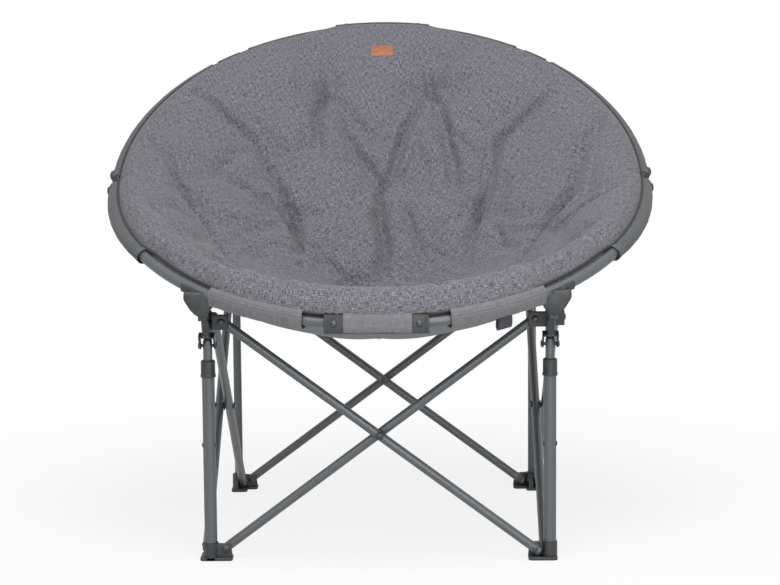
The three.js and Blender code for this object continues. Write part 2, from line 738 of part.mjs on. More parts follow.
// Hinge channels, drawn level with their pins along y and open downwards. The left rim tube turns in a hole
// and the right one slides in a slot. On the seat's side the wall is only an ear at the hole, so that the
// curved tubes have room to swing out.
function channelSolid(slotInset, seatSide) {
  const end = channelPinHalfSpacing + channelEndReach;
  const outside = channelHalfWidth + channelWall;
  const far = outside + cutOverrun;
  const slotLow = channelPinHalfSpacing - slotInset;
  const slotHigh = channelPinHalfSpacing + slotOutset;
  const roofTop = channelRoof + channelWall;
  const across = (x) => bar(vector(x, -far, 0), vector(x, far, 0), rivetHole, pinSides);
  const earEnd = 2 * channelEndReach - end;
  const seatSideBox = (lowX, highX, highZ) => {
    const [lowY, highY] = seatSide > 0 ? [0, far] : [-far, 0];
    return block(vector(lowX, lowY, -channelSkirt - cutOverrun), vector(highX, highY, highZ));
  };
  return cut(
    block(vector(-end, -outside, -channelSkirt), vector(end, outside, roofTop)),
    block(vector(-end - cutOverrun, -channelHalfWidth, -channelSkirt - cutOverrun),
      vector(end + cutOverrun, channelHalfWidth, channelRoof)),
    seatSideBox(earEnd, end + cutOverrun, channelRoof),
    seatSideBox(-end - cutOverrun, earEnd, -channelEarSkirt),
    across(-channelPinHalfSpacing),
    across(slotLow),
    across(slotHigh),
    block(vector(slotLow, -far, -rivetHole), vector(slotHigh, far, rivetHole)),
  );
}

const channelPlaces = [
  { name: 'front', slotInset: frontSlotInset, lean: 0, pin: rimPoint(quarters[0].from), seatSide: 1 },
  {
    name: 'back',
    slotInset: backSlotInset,
    lean: quarterTurn - swivelLean,
    pin: rimPoint(quarters[1].from),
    seatSide: -1,
  },
];
for (const place of channelPlaces) {
  place.matrix = new THREE.Matrix4().makeTranslation(0, place.pin.y, place.pin.z)
    .multiply(new THREE.Matrix4().makeRotationX(place.lean));
  const channel = channelSolid(place.slotInset, place.seatSide);
  addPiece(`hinge_channel_${place.name}`, channel, materials.plastic, place.matrix);
}

// The bowl that the shell lies in: straight in plan from its lowest point to the rim, steeper towards the rim
const bowlBottom = vector(0, rimHingeSetback - bowlBottomAhead, rimPoint(0).z - bowlFrontDrop);
const backShare = (angle) => (1 - Math.cos(angle)) / 2;
const bowlPower = (angle) => frontBowlPower + (backBowlPower - frontBowlPower) * backShare(angle);

function bowlPoint(angle, share) {
  const edge = rimPoint(angle);
  const rise = (edge.z - bowlBottom.z) * share ** bowlPower(angle);
  return vector(edge.x * share, bowlBottom.y + (edge.y - bowlBottom.y) * share, bowlBottom.z + rise);
}

// The way off the bowl, upright at its lowest point
function bowlNormal(angle, share) {
  const s = Math.max(share, normalFloorShare);
  const around = bowlPoint(angle + normalStep, s).sub(bowlPoint(angle - normalStep, s));
  const outward = bowlPoint(angle, s + normalStep).sub(bowlPoint(angle, s - normalStep));
  const normal = around.cross(outward).normalize();
  if (normal.z < 0) normal.negate();
  return normal.lerp(upright, 1 - Math.min(share / normalFloorShare, 1)).normalize();
}

// The length of the bowl's slope at the rim for a whole share
function bowlSlopeLength(angle) {
  return bowlPoint(angle, 1).sub(bowlPoint(angle, 1 - normalStep)).length() / normalStep;
}

const shareBefore = (angle, distance) => 1 - distance / bowlSlopeLength(angle);
const offBowl = (angle, share, rise) => (
  bowlPoint(angle, share).addScaledVector(bowlNormal(angle, share), rise)
);

// Cradle of a saddle: a length of sleeve under the rim, open on the side of the seat
function openCradle(body, angle, lean, bore) {
  const halfAngle = angleOf(saddleHalfLength);
  const { along, out, off } = rimAxes(angle);
  const open = off.clone().multiplyScalar(Math.cos(lean)).addScaledVector(out, -Math.sin(lean));
  const side = along.clone().cross(open);
  const facing = new THREE.Matrix4().makeBasis(side, along, open).setPosition(rimPoint(angle));
  const reach = 2 * saddleHalfLength;
  const lid = boxGeometry(vector(-reach, -reach, cradleCover), vector(reach, reach, reach));
  lid.applyMatrix4(facing);
  const sleeve = rimTube(angle - halfAngle, angle + halfAngle, cradleRadius, cradleSteps);
  return cut(join(body, sleeve), bore, solidOf(lid));
}

// Front saddles
function frontSaddleSolid() {
  const pin = rollPoint;
  const rimCentre = rimPoint(frontSaddleAngle);
  const cheekNear = tongueThickness / 2 + saddleCheekGap;
  const cheekFar = cheekNear + saddleCheekThickness;
  const webLow = pin.z + saddleWebRise;
  const at = (distance) => vector(pin.x, pin.y + distance, pin.z);
  const cheekTop = webLow + saddleCheekThickness;
  const cheek = (low, high) => join(
    bar(at(low), at(high), saddleCheekRadius, tubeSides),
    block(vector(pin.x - saddleCheekRadius, pin.y + low, pin.z),
      vector(pin.x + saddleCheekRadius, pin.y + high, cheekTop)),
  );
  const bodyLow = pin.x - saddleHalfWidth;
  const body = plateX([
    new THREE.Vector2(pin.y - cheekFar, webLow),
    new THREE.Vector2(pin.y + cheekFar, webLow),
    new THREE.Vector2(rimCentre.y + cradleRadius, rimCentre.z),
    new THREE.Vector2(rimCentre.y - cradleRadius, rimCentre.z),
  ], bodyLow, pin.x + saddleHalfWidth);
  const headFar = cheekFar + saddleHeadHeight;
  return join(
    openCradle(body, frontSaddleAngle, frontCradleLean, quarters[0].bore),
    cheek(cheekNear, cheekFar),
    cheek(-cheekFar, -cheekNear),
    bar(at(-headFar), at(headFar), rivetRadius, pinSides),
    bar(at(cheekFar), at(headFar), saddleHeadRadius, pinSides),
    bar(at(-headFar), at(-cheekFar), saddleHeadRadius, pinSides),
  );
}

for (const hand of hands) {
  addPiece(`saddle_front_${hand.name}`, frontSaddleSolid(), materials.plastic, hand.matrix);
}

// Back posts: plain tubes that stand in the feet and end under the rim, with the brackets as their caps
const backSaddleAngle = Math.PI - Math.asin(half / rimRadius);
const swivelHeight = rimPoint(backSaddleAngle).z - swivelDrop;
const backPostTop = swivelHeight - backPostDrop;
for (const hand of hands) {
  const place = handed(hand, -half, half);
  const onAxis = (z) => vector(0, 0, z);
  const boreRadius = backPostRadius - backPostWall;
  const post = cut(
    bar(onAxis(postBase), onAxis(backPostTop), backPostRadius, postSides),
    bar(onAxis(postBase - cutOverrun), onAxis(backPostTop + cutOverrun), boreRadius, postSides),
  );
  addPiece(`post_back_${hand.name}`, post, materials.tube, place);
}

// Back brackets close the back posts and carry the leaning swivel pins
const swivelPoint = vector(-half, half, swivelHeight);
const onSwivel = (distance) => swivelPoint.clone().addScaledVector(swivelAxis, distance);

function backBracketSolid() {
  const socketTop = backPostTop + seatGap + socketCap;
  const socketLow = backPostTop - socketLength;
  const headNear = barrelHalfLength + seatGap;
  const headFar = headNear + swivelHeadHeight;
  const shoulderTop = -barrelHalfLength - seatGap;
  const onPost = (z) => vector(-half, half, z);
  const socketBore = backPostRadius + seatGap;
  return cut(
    join(
      bar(onPost(socketLow), onPost(socketTop), socketRadius, postSides),
      bar(onSwivel(shoulderTop - swivelShoulder), onSwivel(shoulderTop), barrelRadius - seatGap, tubeSides),
      bar(onSwivel(shoulderTop - swivelShoulder / 2), onSwivel(headFar), swivelPinRadius, pinSides),
      bar(onSwivel(headNear), onSwivel(headFar), swivelHeadRadius, tubeSides),
    ),
    bar(onPost(socketLow - cutOverrun), onPost(backPostTop + seatGap), socketBore, postSides),
  );
}

function backSaddleSolid() {
  const rimCentre = rimPoint(backSaddleAngle);
  const front = onSwivel(-barrelDrop);
  const back = onSwivel(barrelHalfLength);
  const body = plateX([
    new THREE.Vector2(front.y - barrelRadius, front.z),
    new THREE.Vector2(front.y, front.z),
    new THREE.Vector2(back.y, back.z),
    new THREE.Vector2(rimCentre.y + cradleRadius / 2, rimCentre.z),
    new THREE.Vector2(rimCentre.y - cradleRadius, rimCentre.z),
  ], -half - barrelRadius, -half + barrelRadius);
  const clamp = openCradle(body, backSaddleAngle, backCradleLean, quarters[1].bore);
  const boreReach = barrelHalfLength + cutOverrun;
  const headTop = barrelHalfLength + swivelHeadHeight + pinGap + seatGap;
  return cut(
    join(clamp, bar(onSwivel(-barrelHalfLength), onSwivel(barrelHalfLength), barrelRadius, tubeSides)),
    bar(onSwivel(-boreReach), onSwivel(boreReach), swivelPinRadius + pinGap, pinSides),
    bar(onSwivel(barrelHalfLength), onSwivel(headTop), swivelHeadRadius + pinGap, tubeSides),
  );
}

for (const hand of hands) {
  addPiece(`bracket_back_${hand.name}`, backBracketSolid(), materials.plastic, hand.matrix);
  addPiece(`saddle_back_${hand.name}`, backSaddleSolid(), materials.plastic, hand.matrix);
}

// The room that a channel takes out of the seat
function channelNotch(channel) {
  const end = channelPinHalfSpacing + channelEndReach + seatGap;
  const side = channelHalfWidth + channelWall + channelHeadHeight + channelNotchGap;
  const high = channelRoof + channelWall + channelNotchGap;
  const room = boxGeometry(vector(-end, -side, -channelNotchDepth), vector(end, side, high));
  return room.applyMatrix4(channel.matrix);
}

// A grid of points off the bowl between two angles, through given rows of shares
function bowlGrid(from, to, shareRows, riseAt) {
  return shareRows.map((shareAt) => {
    const row = [];
    for (let j = 0; j <= seatAround; j++) {
      const angle = from + (to - from) * j / seatAround;
      const share = shareAt(angle);
      row.push(offBowl(angle, share, riseAt(angle, share)));
    }
    return row;
  });
}

// Rows from the bottom of the bowl to the edge of the shell, and rows from there over the rim
const shellRows = [];
for (let i = 0; i <= seatAcross; i++) {
  shellRows.push((angle) => shareBefore(angle, sheetEdgeInset) * i / seatAcross);
}
const rollRows = [];
for (let i = 1; i <= padRollRows; i++) {
  rollRows.push((angle) => shareBefore(angle, sheetEdgeInset * (1 - i / padRollRows)));
}

// Shell quarters: a sheet from the bottom of the bowl to the inside of the rim tube
function shellQuarter(from, to, saddleAngle, channel) {
  const top = bowlGrid(from, to, shellRows, () => shellThickness / 2);
  const bottom = bowlGrid(from, to, shellRows, () => -shellThickness / 2);
  const saddleHalf = angleOf(saddleNotchHalfLength);
  return cut(
    solidOf(thickSheet(top, bottom)),
    rimTube(saddleAngle - saddleHalf, saddleAngle + saddleHalf, saddleNotchRadius, cradleSteps),
    solidOf(channelNotch(channel)),
  );
}

// Tufts pull the pad down, in mirrored pairs: shares of the half turn from the front and of the way out
const tuftShares = [
  [0.91, 0.8],
  [1, 0.54],
  [0.74, 0.5],
  [0.82, 0.2],
  [0.47, 0.52],
  [0.18, 0.62],
];
const tufts = tuftShares.map(([turnShare, outShare]) => {
  const left = bowlPoint(Math.PI * turnShare, outShare);
  return { left, right: left.clone().setX(-left.x) };
});

// The pad's thickness: rolled at its edge, fuller at the front and pulled down at the tufts
function padRise(angle, share) {
  const inset = (1 - share) * bowlSlopeLength(angle);
  const roll = Math.sqrt(1 - (1 - Math.min(inset / padEdgeRoll, 1)) ** 2);
  const full = padThickness + padFrontExtra * (1 - backShare(angle)) ** 2 - padEdgeThickness;
  const here = bowlPoint(angle, share);
  let pull = 0;
  for (const tuft of tufts) {
    const distance = Math.min(here.distanceTo(tuft.left), here.distanceTo(tuft.right));
    pull = Math.max(pull, Math.exp(-((distance / tuftSpread) ** 2)));
  }
  return padEdgeThickness + full * roll - tuftDepth * pull;
}

// The pad's underside lies on the shell and lifts over the rim's sleeve
function padUnder(angle, share) {
  const inset = (1 - share) * bowlSlopeLength(angle);
  const clear = sleeveRadius + padRimGap;
  const lift = inset < clear ? Math.sqrt(clear ** 2 - inset ** 2) : 0;
  return Math.max(shellThickness / 2 + padRestGap, lift);
}

// Pad quarters, cut away over the hinge channels
function padQuarter(from, to, channel) {
  const rows = [...shellRows, ...rollRows];
  const top = bowlGrid(from, to, rows, (angle, share) => padUnder(angle, share) + padRise(angle, share));
  const bottom = bowlGrid(from, to, rows, padUnder);
  return cut(solidOf(thickSheet(top, bottom)), solidOf(channelNotch(channel)));
}

const seatQuarters = [
  { name: 'front', from: 0, saddle: frontSaddleAngle, channel: channelPlaces[0], shift: -1 },
  { name: 'back', from: 2 * quarterTurn, saddle: backSaddleAngle, channel: channelPlaces[1], shift: 1 },
];
for (const quarter of seatQuarters) {
  const shell = shellQuarter(quarter.from, quarterTurn, quarter.saddle, quarter.channel);
  const pad = padQuarter(quarter.from, quarterTurn, quarter.channel);
  for (const hand of hands) {
    const matrix = handed(hand, -partingShift, quarter.shift * partingShift);
    addPiece(`shell_${quarter.name}_${hand.name}`, shell, materials.shell, matrix);
    addPiece(`pad_${quarter.name}_${hand.name}`, pad, materials.pad, matrix);
  }
}

// Leather tab at the top of the back, flat on the pad's outermost facets beside the parting
function tabSolid() {
  const backEdge = 2 * quarterTurn;
  const nextAngle = backEdge - quarterTurn / seatAround;
  const padTop = (angle, shareAt) => {
    const share = shareAt(angle);
    return offBowl(angle, share, padUnder(angle, share) + padRise(angle, share));
  };
  const inner = padTop(backEdge, shellRows[seatAcross - 1]);
  const outer = padTop(backEdge, shellRows[seatAcross]);
  const outerBeside = padTop(nextAngle, shellRows[seatAcross]);
  const upTheBack = outer.clone().sub(inner).normalize();
  const beside = outerBeside.clone().sub(outer);
  const away = upTheBack.clone().cross(beside).normalize();
  const corner = (side, distance, rise) => {
    const point = outer.clone()
      .addScaledVector(upTheBack, -distance)
      .addScaledVector(beside, tabWidth / 2 / beside.length() * Math.abs(side))
      .addScaledVector(away, rise);
    return side > 0 ? point.setX(-point.x) : point;
  };
  const tabFar = tabInset + tabHeight / 2 - sheetEdgeInset;
  const tabNear = tabFar - tabHeight;
  const row = (distance, rise) => [-1, 0, 1].map((side) => corner(side, distance, rise));
  const grid = (rise) => [row(tabNear, rise), row(tabFar, rise)];
  return solidOf(thickSheet(grid(seatGap + tabThickness), grid(seatGap)));
}

addPiece('tab_back', tabSolid(), materials.leather);

// Webbing strap sewn under the sleeve at the front right
const strapTop = rimPoint(-strapAngle);
const strapFacing = new THREE.Matrix4().makeRotationZ(strapAngle)
  .setPosition(strapTop.x, strapTop.y, strapTop.z - sleeveRadius);
const strapLow = vector(-strapWidth / 2, -strapThickness / 2, -strapLength);
const strapHigh = vector(strapWidth / 2, strapThickness / 2, 0);
addPiece('strap_front', solidUnder(boxGeometry(strapLow, strapHigh), strapFacing), materials.webbing);

// The whole is centred over the origin
const bounds = new THREE.Box3().setFromObject(chair);
const shift = -(bounds.min.y + bounds.max.y) / 2;
for (const piece of chair.children) piece.geometry.translate(0, shift, 0);

export default chair;
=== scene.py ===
# A folding saucer chair: a round padded seat hung in a hinged rim, over a base of crossed tubes.
from math import asin, cos, pi, radians, sin, tau

import bmesh
import bpy
import numpy as np
from mathutils import Matrix, Vector
from mathutils.bvhtree import BVHTree


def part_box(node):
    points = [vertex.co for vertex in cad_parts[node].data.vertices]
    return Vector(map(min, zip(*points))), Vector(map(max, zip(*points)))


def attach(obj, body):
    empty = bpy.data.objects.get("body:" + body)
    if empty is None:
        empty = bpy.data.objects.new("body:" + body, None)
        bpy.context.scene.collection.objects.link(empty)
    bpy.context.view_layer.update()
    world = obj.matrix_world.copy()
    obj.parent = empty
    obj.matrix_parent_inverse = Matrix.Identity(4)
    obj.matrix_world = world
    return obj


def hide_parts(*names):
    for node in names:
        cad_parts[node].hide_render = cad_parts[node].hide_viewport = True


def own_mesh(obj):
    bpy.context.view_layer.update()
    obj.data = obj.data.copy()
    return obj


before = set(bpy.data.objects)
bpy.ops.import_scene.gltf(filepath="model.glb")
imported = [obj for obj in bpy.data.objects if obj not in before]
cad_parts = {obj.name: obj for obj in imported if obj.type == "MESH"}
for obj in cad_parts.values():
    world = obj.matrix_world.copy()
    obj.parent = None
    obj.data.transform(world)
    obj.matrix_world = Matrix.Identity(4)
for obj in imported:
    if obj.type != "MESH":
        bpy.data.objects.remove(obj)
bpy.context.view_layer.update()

scene = bpy.context.scene

# The camera stands where the photograph was taken from: low, close to the height of the rim, and far
# enough away for a long lens. Its place was worked out from the feet, the collars and the rim.
MM = 0.001
picture_width = 780
focal_length_in_pixels = 2144.7
middle_x_in_pixels = 390
middle_y_in_pixels = 290.4
frame_middle_y_in_pixels = 292.5
sensor_width = 36
camera_place = Vector((0.0703, -3.88, 0.9038))
camera_yaw = radians(0.791)
camera_pitch = radians(6.84)
camera_roll = radians(-0.449)

ahead = Vector((
    -sin(camera_yaw) * cos(camera_pitch),
    cos(camera_yaw) * cos(camera_pitch),
    -sin(camera_pitch),
))
level = Vector((cos(camera_yaw), sin(camera_yaw), 0))
rolled = Matrix.Rotation(-camera_roll, 3, ahead)
picture_right = rolled @ level
picture_up = rolled @ level.cross(ahead)

camera_data = bpy.data.cameras.new("camera")
camera_data.sensor_width = sensor_width
camera_data.lens = focal_length_in_pixels * sensor_width / picture_width
camera_data.shift_y = (middle_y_in_pixels - frame_middle_y_in_pixels) / picture_width
camera = bpy.data.objects.new("camera", camera_data)
camera.matrix_world = Matrix.Translation(camera_place) @ Matrix(
    (picture_right, picture_up, -ahead)
).transposed().to_4x4()
scene.collection.objects.link(camera)
scene.camera = camera


def sight_line(x, y):
    """The way from the camera through a point of the picture, in its pixels."""
    across = picture_right * (x - middle_x_in_pixels)
    up = picture_up * (middle_y_in_pixels - y)
    return (ahead * focal_length_in_pixels + across + up).normalized()


# The studio: a white room with large soft lamps, and a white floor that keeps a trace of the shadow.
def srgb(code):
    """An sRGB hex colour as linear red, green, blue and alpha."""
    shares = [int(code[i : i + 2], 16) / 255 for i in (1, 3, 5)]
    return (*[s / 12.92 if s <= 0.04045 else ((s + 0.055) / 1.055) ** 2.4 for s in shares], 1)


def add_node(tree, kind, settings=None, links=None):
    """Adds a node with its settings and the sockets that feed it."""
    node = tree.nodes.new(kind)
    for key, value in (settings or {}).items():
        if isinstance(key, int) or key in node.inputs:
            node.inputs[key].default_value = value
        else:
            setattr(node, key, value)
    for key, source in (links or {}).items():
        tree.links.new(source, node.inputs[key])
    return node


def empty_tree(owner):
    """The node tree of a material or world, cleared."""
    owner.use_nodes = True
    owner.node_tree.nodes.clear()
    return owner.node_tree


def blank_material(name):
    """A new material and its empty node tree."""
    material = bpy.data.materials.new(name)
    return material, empty_tree(material)


def seen_rays(tree):
    """One for a ray that the camera sees, also by way of a gloss or a clear piece, and otherwise zero."""
    rays = add_node(tree, "ShaderNodeLightPath")
    mirrored = add_node(tree, "ShaderNodeMath", {"operation": "MAXIMUM"},
        {0: rays.outputs["Is Glossy Ray"], 1: rays.outputs["Is Transmission Ray"]})
    seen = add_node(tree, "ShaderNodeMath", {"operation": "MAXIMUM"},
        {0: rays.outputs["Is Camera Ray"], 1: mirrored.outputs[0]})
    return seen.outputs[0]


room_light = 0.33
white = (1, 1, 1, 1)
world = bpy.data.worlds.new("white_room")
scene.world = world
room = empty_tree(world)
lighting = add_node(room, "ShaderNodeBackground", {"Color": white, "Strength": room_light})
backdrop = add_node(room, "ShaderNodeBackground", {"Color": white, "Strength": 1})
either = add_node(room, "ShaderNodeMixShader", None,
    {0: seen_rays(room), 1: lighting.outputs[0], 2: backdrop.outputs[0]})
add_node(room, "ShaderNodeOutputWorld", None, {"Surface": either.outputs[0]})

floor_size = 30
shadow_share = 0.16
shadow_reach = 1.5
floor_gap = 0.5 * MM
floor_material, paper = blank_material("white_paper_floor")
matt = add_node(paper, "ShaderNodeBsdfDiffuse", {"Color": srgb("#e6e6e6")})
glow = add_node(paper, "ShaderNodeEmission", {"Color": white, "Strength": 1})
place = add_node(paper, "ShaderNodeTexCoord").outputs["Object"]
distance = add_node(paper, "ShaderNodeVectorMath", {"operation": "LENGTH"}, {0: place})
soft_shadow = add_node(paper, "ShaderNodeMapRange",
    {"From Min": shadow_reach / 3, "From Max": shadow_reach, "To Min": 1 - shadow_share, "To Max": 1},
    {"Value": distance.outputs["Value"]})
clean = add_node(paper, "ShaderNodeMath", {"operation": "MULTIPLY"},
    {0: seen_rays(paper), 1: soft_shadow.outputs[0]})
either = add_node(paper, "ShaderNodeMixShader", None,
    {0: clean.outputs[0], 1: matt.outputs[0], 2: glow.outputs[0]})
add_node(paper, "ShaderNodeOutputMaterial", None, {"Surface": either.outputs[0]})

sheet = bmesh.new()
bmesh.ops.create_grid(sheet, x_segments=1, y_segments=1, size=floor_size / 2)
floor_mesh = bpy.data.meshes.new("floor")
sheet.to_mesh(floor_mesh)
sheet.free()
floor_mesh.materials.append(floor_material)
floor = bpy.data.objects.new("floor", floor_mesh)
floor.location.z = -floor_gap
scene.collection.objects.link(floor)

lamp_target = Vector((0, 0, 0.55))
lamps = (
    ("key_lamp", Vector((-1.9, -2.9, 3.0)), 1.6, 26),
    ("front_lamp", Vector((0.5, -2.0, 0.95)), 1.5, 20),
    ("top_lamp", Vector((0.1, -1.1, 2.6)), 1.2, 44),
)
for name, place, size, power in lamps:
    lamp_data = bpy.data.lights.new(name, "AREA")
    lamp_data.size = size
    lamp_data.energy = power
    lamp = bpy.data.objects.new(name, lamp_data)
    lamp.location = place
    lamp.rotation_euler = (lamp_target - place).to_track_quat("-Z", "Y").to_euler()
    scene.collection.objects.link(lamp)
scene.view_settings.view_transform = "Standard"

# Feet: black nylon mouldings. Each has a flat sole, a socket for its post and a lug for each of the two
# scissor tubes that end there.
foot_sole_height = 6 * MM
foot_sole_side = 18.6 * MM
foot_corner = 6 * MM
foot_edge = 1.4 * MM
foot_socket_radius = 12.9 * MM
foot_height = 31 * MM
lug_reach = 37.5 * MM
lug_face = 0.5 * MM
lug_thickness = 8 * MM
lug_round = 11 * MM
front_foot_bore = 11.4 * MM
back_foot_bore = 8.4 * MM
front_post_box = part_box("inner_post_front_left")
back_post_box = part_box("post_back_left")
front_post_y = (front_post_box[0].y + front_post_box[1].y) / 2
back_post_y = (back_post_box[0].y + back_post_box[1].y) / 2
half_side = (back_post_y - front_post_y) / 2
base_middle = Vector((0, (front_post_y + back_post_y) / 2, 0))


def surfaced(tree, pattern, dark, light, settings, shine=None, relief=None):
    """Finishes a material: two colours over a pattern, and the patterns of its shine and its relief."""
    tone = add_node(tree, "ShaderNodeValToRGB", None, {"Fac": pattern.outputs[0]})
    for stop, (code, position) in zip(tone.color_ramp.elements, (dark, light)):
        stop.color = srgb(code)
        stop.position = position
    links = {"Base Color": tone.outputs[0]}
    if shine:
        source, low, high = shine
        rough = add_node(tree, "ShaderNodeMapRange", {"To Min": low, "To Max": high},
            {"Value": source.outputs[0]})
        links["Roughness"] = rough.outputs[0]
    if relief:
        source, strength, depth = relief
        bump = add_node(tree, "ShaderNodeBump", {"Strength": strength, "Distance": depth},
            {"Height": source.outputs[0]})
        links["Normal"] = bump.outputs[0]
    shader = add_node(tree, "ShaderNodeBsdfPrincipled", settings, links)
    add_node(tree, "ShaderNodeOutputMaterial", None, {"Surface": shader.outputs[0]})


nylon_grain = 0.7 * MM
nylon_scuffs_per_metre = 60
# Glass-filled nylon, moulded with a fine spark-eroded grain: dark, dull and slightly uneven
nylon, tree = blank_material("moulded_black_nylon")
place = add_node(tree, "ShaderNodeTexCoord").outputs["Object"]
grain = add_node(tree, "ShaderNodeTexNoise", {"Scale": 1 / nylon_grain, "Detail": 2}, {"Vector": place})
scuffs = add_node(tree, "ShaderNodeTexNoise", {"Scale": nylon_scuffs_per_metre, "Detail": 3},
    {"Vector": place})
surfaced(tree, scuffs, ("#26282a", 0.35), ("#34373a", 0.75), {"IOR": 1.53}, shine=(grain, 0.42, 0.62),
    relief=(grain, 0.25, 0.1 * MM))


def added(piece, element, matrix=Matrix(), surface=0):
    """Joins an element to a piece, in the piece's numbered material."""
    bmesh.ops.transform(element, matrix=matrix, verts=element.verts)
    for face in element.faces:
        face.material_index = surface
    mesh = bpy.data.meshes.new("element")
    element.to_mesh(mesh)
    element.free()
    piece.from_mesh(mesh)
    bpy.data.meshes.remove(mesh)


def rounded(element, edges, width, steps):
    """Rounds some edges of an element."""
    bmesh.ops.bevel(element, geom=edges, offset=width, affect="EDGES", segments=steps, profile=0.5,
        material=-1)


def block(low, high, edge, steps=3, upright_edge=0):
    """A block between two corners with rounded edges, and wider rounds on its upright edges if asked."""
    element = bmesh.new()
    middle = (Vector(low) + Vector(high)) / 2
    size = Vector(high) - Vector(low)
    matrix = Matrix.Translation(middle) @ Matrix.Diagonal((*size, 1))
    bmesh.ops.create_cube(element, size=1, matrix=matrix)
    if upright_edge:
        upright = [e for e in element.edges if abs((e.verts[0].co - e.verts[1].co).z) > size.z / 2]
        rounded(element, upright, upright_edge, 2 * steps)
        ends = [f for f in element.faces if abs(f.normal.z) > 0.9]
        rims = list({e for f in ends for e in f.edges})
    else:
        rims = element.edges[:]
    rounded(element, rims, edge, steps)
    return element


mesh_tolerance = 0.001 * MM


def turned(profile, steps=36, closed=False):
    """A profile of (radius, height) points spun round the Z axis, as on a lathe."""
    element = bmesh.new()
    points = [element.verts.new((radius, 0, height)) for radius, height in profile]
    lines = [element.edges.new(pair) for pair in zip(points, points[1:])]
    if closed:
        lines.append(element.edges.new((points[-1], points[0])))
    bmesh.ops.spin(element, geom=points + lines, cent=(0, 0, 0), axis=(0, 0, 1), angle=tau, steps=steps,
        use_merge=True)
    bmesh.ops.remove_doubles(element, verts=element.verts, dist=mesh_tolerance)
    return element


def finished(name, piece, materials, body, nodes=(), sharp=40, place=Matrix()):
    """Moves a piece to its place and makes it an object that rides on a body and stands for CAD nodes."""
    bmesh.ops.transform(piece, matrix=place, verts=piece.verts)
    bmesh.ops.recalc_face_normals(piece, faces=piece.faces)
    mesh = bpy.data.meshes.new(name)
    piece.to_mesh(mesh)
    piece.free()
    for material in materials:
        mesh.materials.append(material)
    mesh.shade_smooth()
    mesh.set_sharp_from_angle(angle=radians(sharp))
    thing = bpy.data.objects.new(name, mesh)
    scene.collection.objects.link(thing)
    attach(thing, body)
    if nodes:
        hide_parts(*nodes)
    return thing


def corner_place(turns):
    """A corner of the base, by quarter turns from the front left."""
    about = Matrix.Rotation(-turns * pi / 2, 4, "Z")
    return Matrix.Translation(base_middle) @ about @ Matrix.Translation((-half_side, -half_side, 0))


corners = (
    ("front_left", 0, "stand_front_left"),
    ("back_left", 1, "stand_back_left"),
    ("back_right", 2, "stand_back_right"),
    ("front_right", 3, "stand_front_right"),
)
for name, turns, body in corners:
    foot = bmesh.new()
    socket = foot_socket_radius
    added(foot, block((-socket, -socket, 0), (lug_reach, foot_sole_side, foot_sole_height), foot_edge,
        upright_edge=foot_corner))
    added(foot, block((-foot_sole_side, -socket, 0), (socket, lug_reach, foot_sole_height), foot_edge,
        upright_edge=foot_corner))
    bore = front_foot_bore if "front" in name else back_foot_bore
    added(foot, turned([
        (bore, foot_sole_height), (bore, foot_height - foot_edge), (bore + foot_edge, foot_height),
        (socket - foot_edge, foot_height), (socket, foot_height - foot_edge), (socket, foot_sole_height / 2),
        (bore, foot_sole_height / 2),
    ], closed=True))
    for across in (False, True):
        lug_low = (0, lug_face - lug_thickness, foot_sole_height / 2)
        lug = block(lug_low, (lug_reach, lug_face, foot_height), foot_edge)
        for vertex in lug.verts:
            past = Vector((vertex.co.x - (lug_reach - lug_round), vertex.co.z - (foot_height - lug_round)))
            if past.x > 0 and past.y > 0:
                limit = lug_round / max(past.length, lug_round)
                vertex.co.x = lug_reach - lug_round + past.x * limit
                vertex.co.z = foot_height - lug_round + past.y * limit
        added(foot, lug, Matrix.Rotation(pi / 2 if across else 0, 4, "Z"))
    finished(f"foot_{name}_moulding", foot, [nylon], body, [f"foot_{name}"],
        place=corner_place(turns))

# Front outer posts: thick steel tubes that stand in the front feet, painted dark grey with a satin
# powder coat. A rivet half way up holds the guide of the inner post.
tube_wall = 1.4 * MM
tube_lip = 0.5 * MM
rivet_radius = 4.6 * MM
rivet_height = 1.9 * MM
post_rivet_height = 202 * MM
rivet_sink = 0.2 * MM
coat_peel = 1.6 * MM
coat_flake = 0.5 * MM
# Powder coat on steel: satin, with the faint orange peel of cured powder and a little metal flake
powder_coat, tree = blank_material("satin_grey_powder_coat")
place = add_node(tree, "ShaderNodeTexCoord").outputs["Object"]
peel = add_node(tree, "ShaderNodeTexNoise", {"Scale": 1 / coat_peel, "Detail": 1}, {"Vector": place})
flake = add_node(tree, "ShaderNodeTexNoise", {"Scale": 1 / coat_flake, "Detail": 0}, {"Vector": place})
surfaced(tree, flake, ("#56595b", 0.3), ("#626669", 0.72), {"IOR": 1.5, "Metallic": 0.35},
    shine=(peel, 0.3, 0.44), relief=(peel, 0.08, 0.06 * MM))

zinc_rubs_per_metre = 400
# Rivets and bolts: steel with a black zinc finish, rubbed a little brighter in spots
black_zinc, tree = blank_material("black_zinc_plated_steel")
place = add_node(tree, "ShaderNodeTexCoord").outputs["Object"]
rub = add_node(tree, "ShaderNodeTexNoise", {"Scale": zinc_rubs_per_metre, "Detail": 3}, {"Vector": place})
surfaced(tree, rub, ("#2f3234", 0), ("#5a5e61", 1), {"Metallic": 0.85}, shine=(rub, 0.28, 0.5))


def open_tube(radius, low, high, wall=tube_wall):
    """A tube round the Z axis with a small round on both of its cut ends."""
    bore = radius - wall
    return turned([
        (bore, low), (radius - tube_lip, low), (radius, low + tube_lip),
        (radius, high - tube_lip), (radius - tube_lip, high), (bore, high),
    ], closed=True)


def dome(radius, height):
    """A low domed head on the Z axis, standing on the plane z = 0."""
    return turned([
        (0, height), (0.45 * radius, 0.94 * height), (0.8 * radius, 0.66 * height),
        (radius, 0.2 * height), (radius, 0), (0, 0),
    ], steps=24)


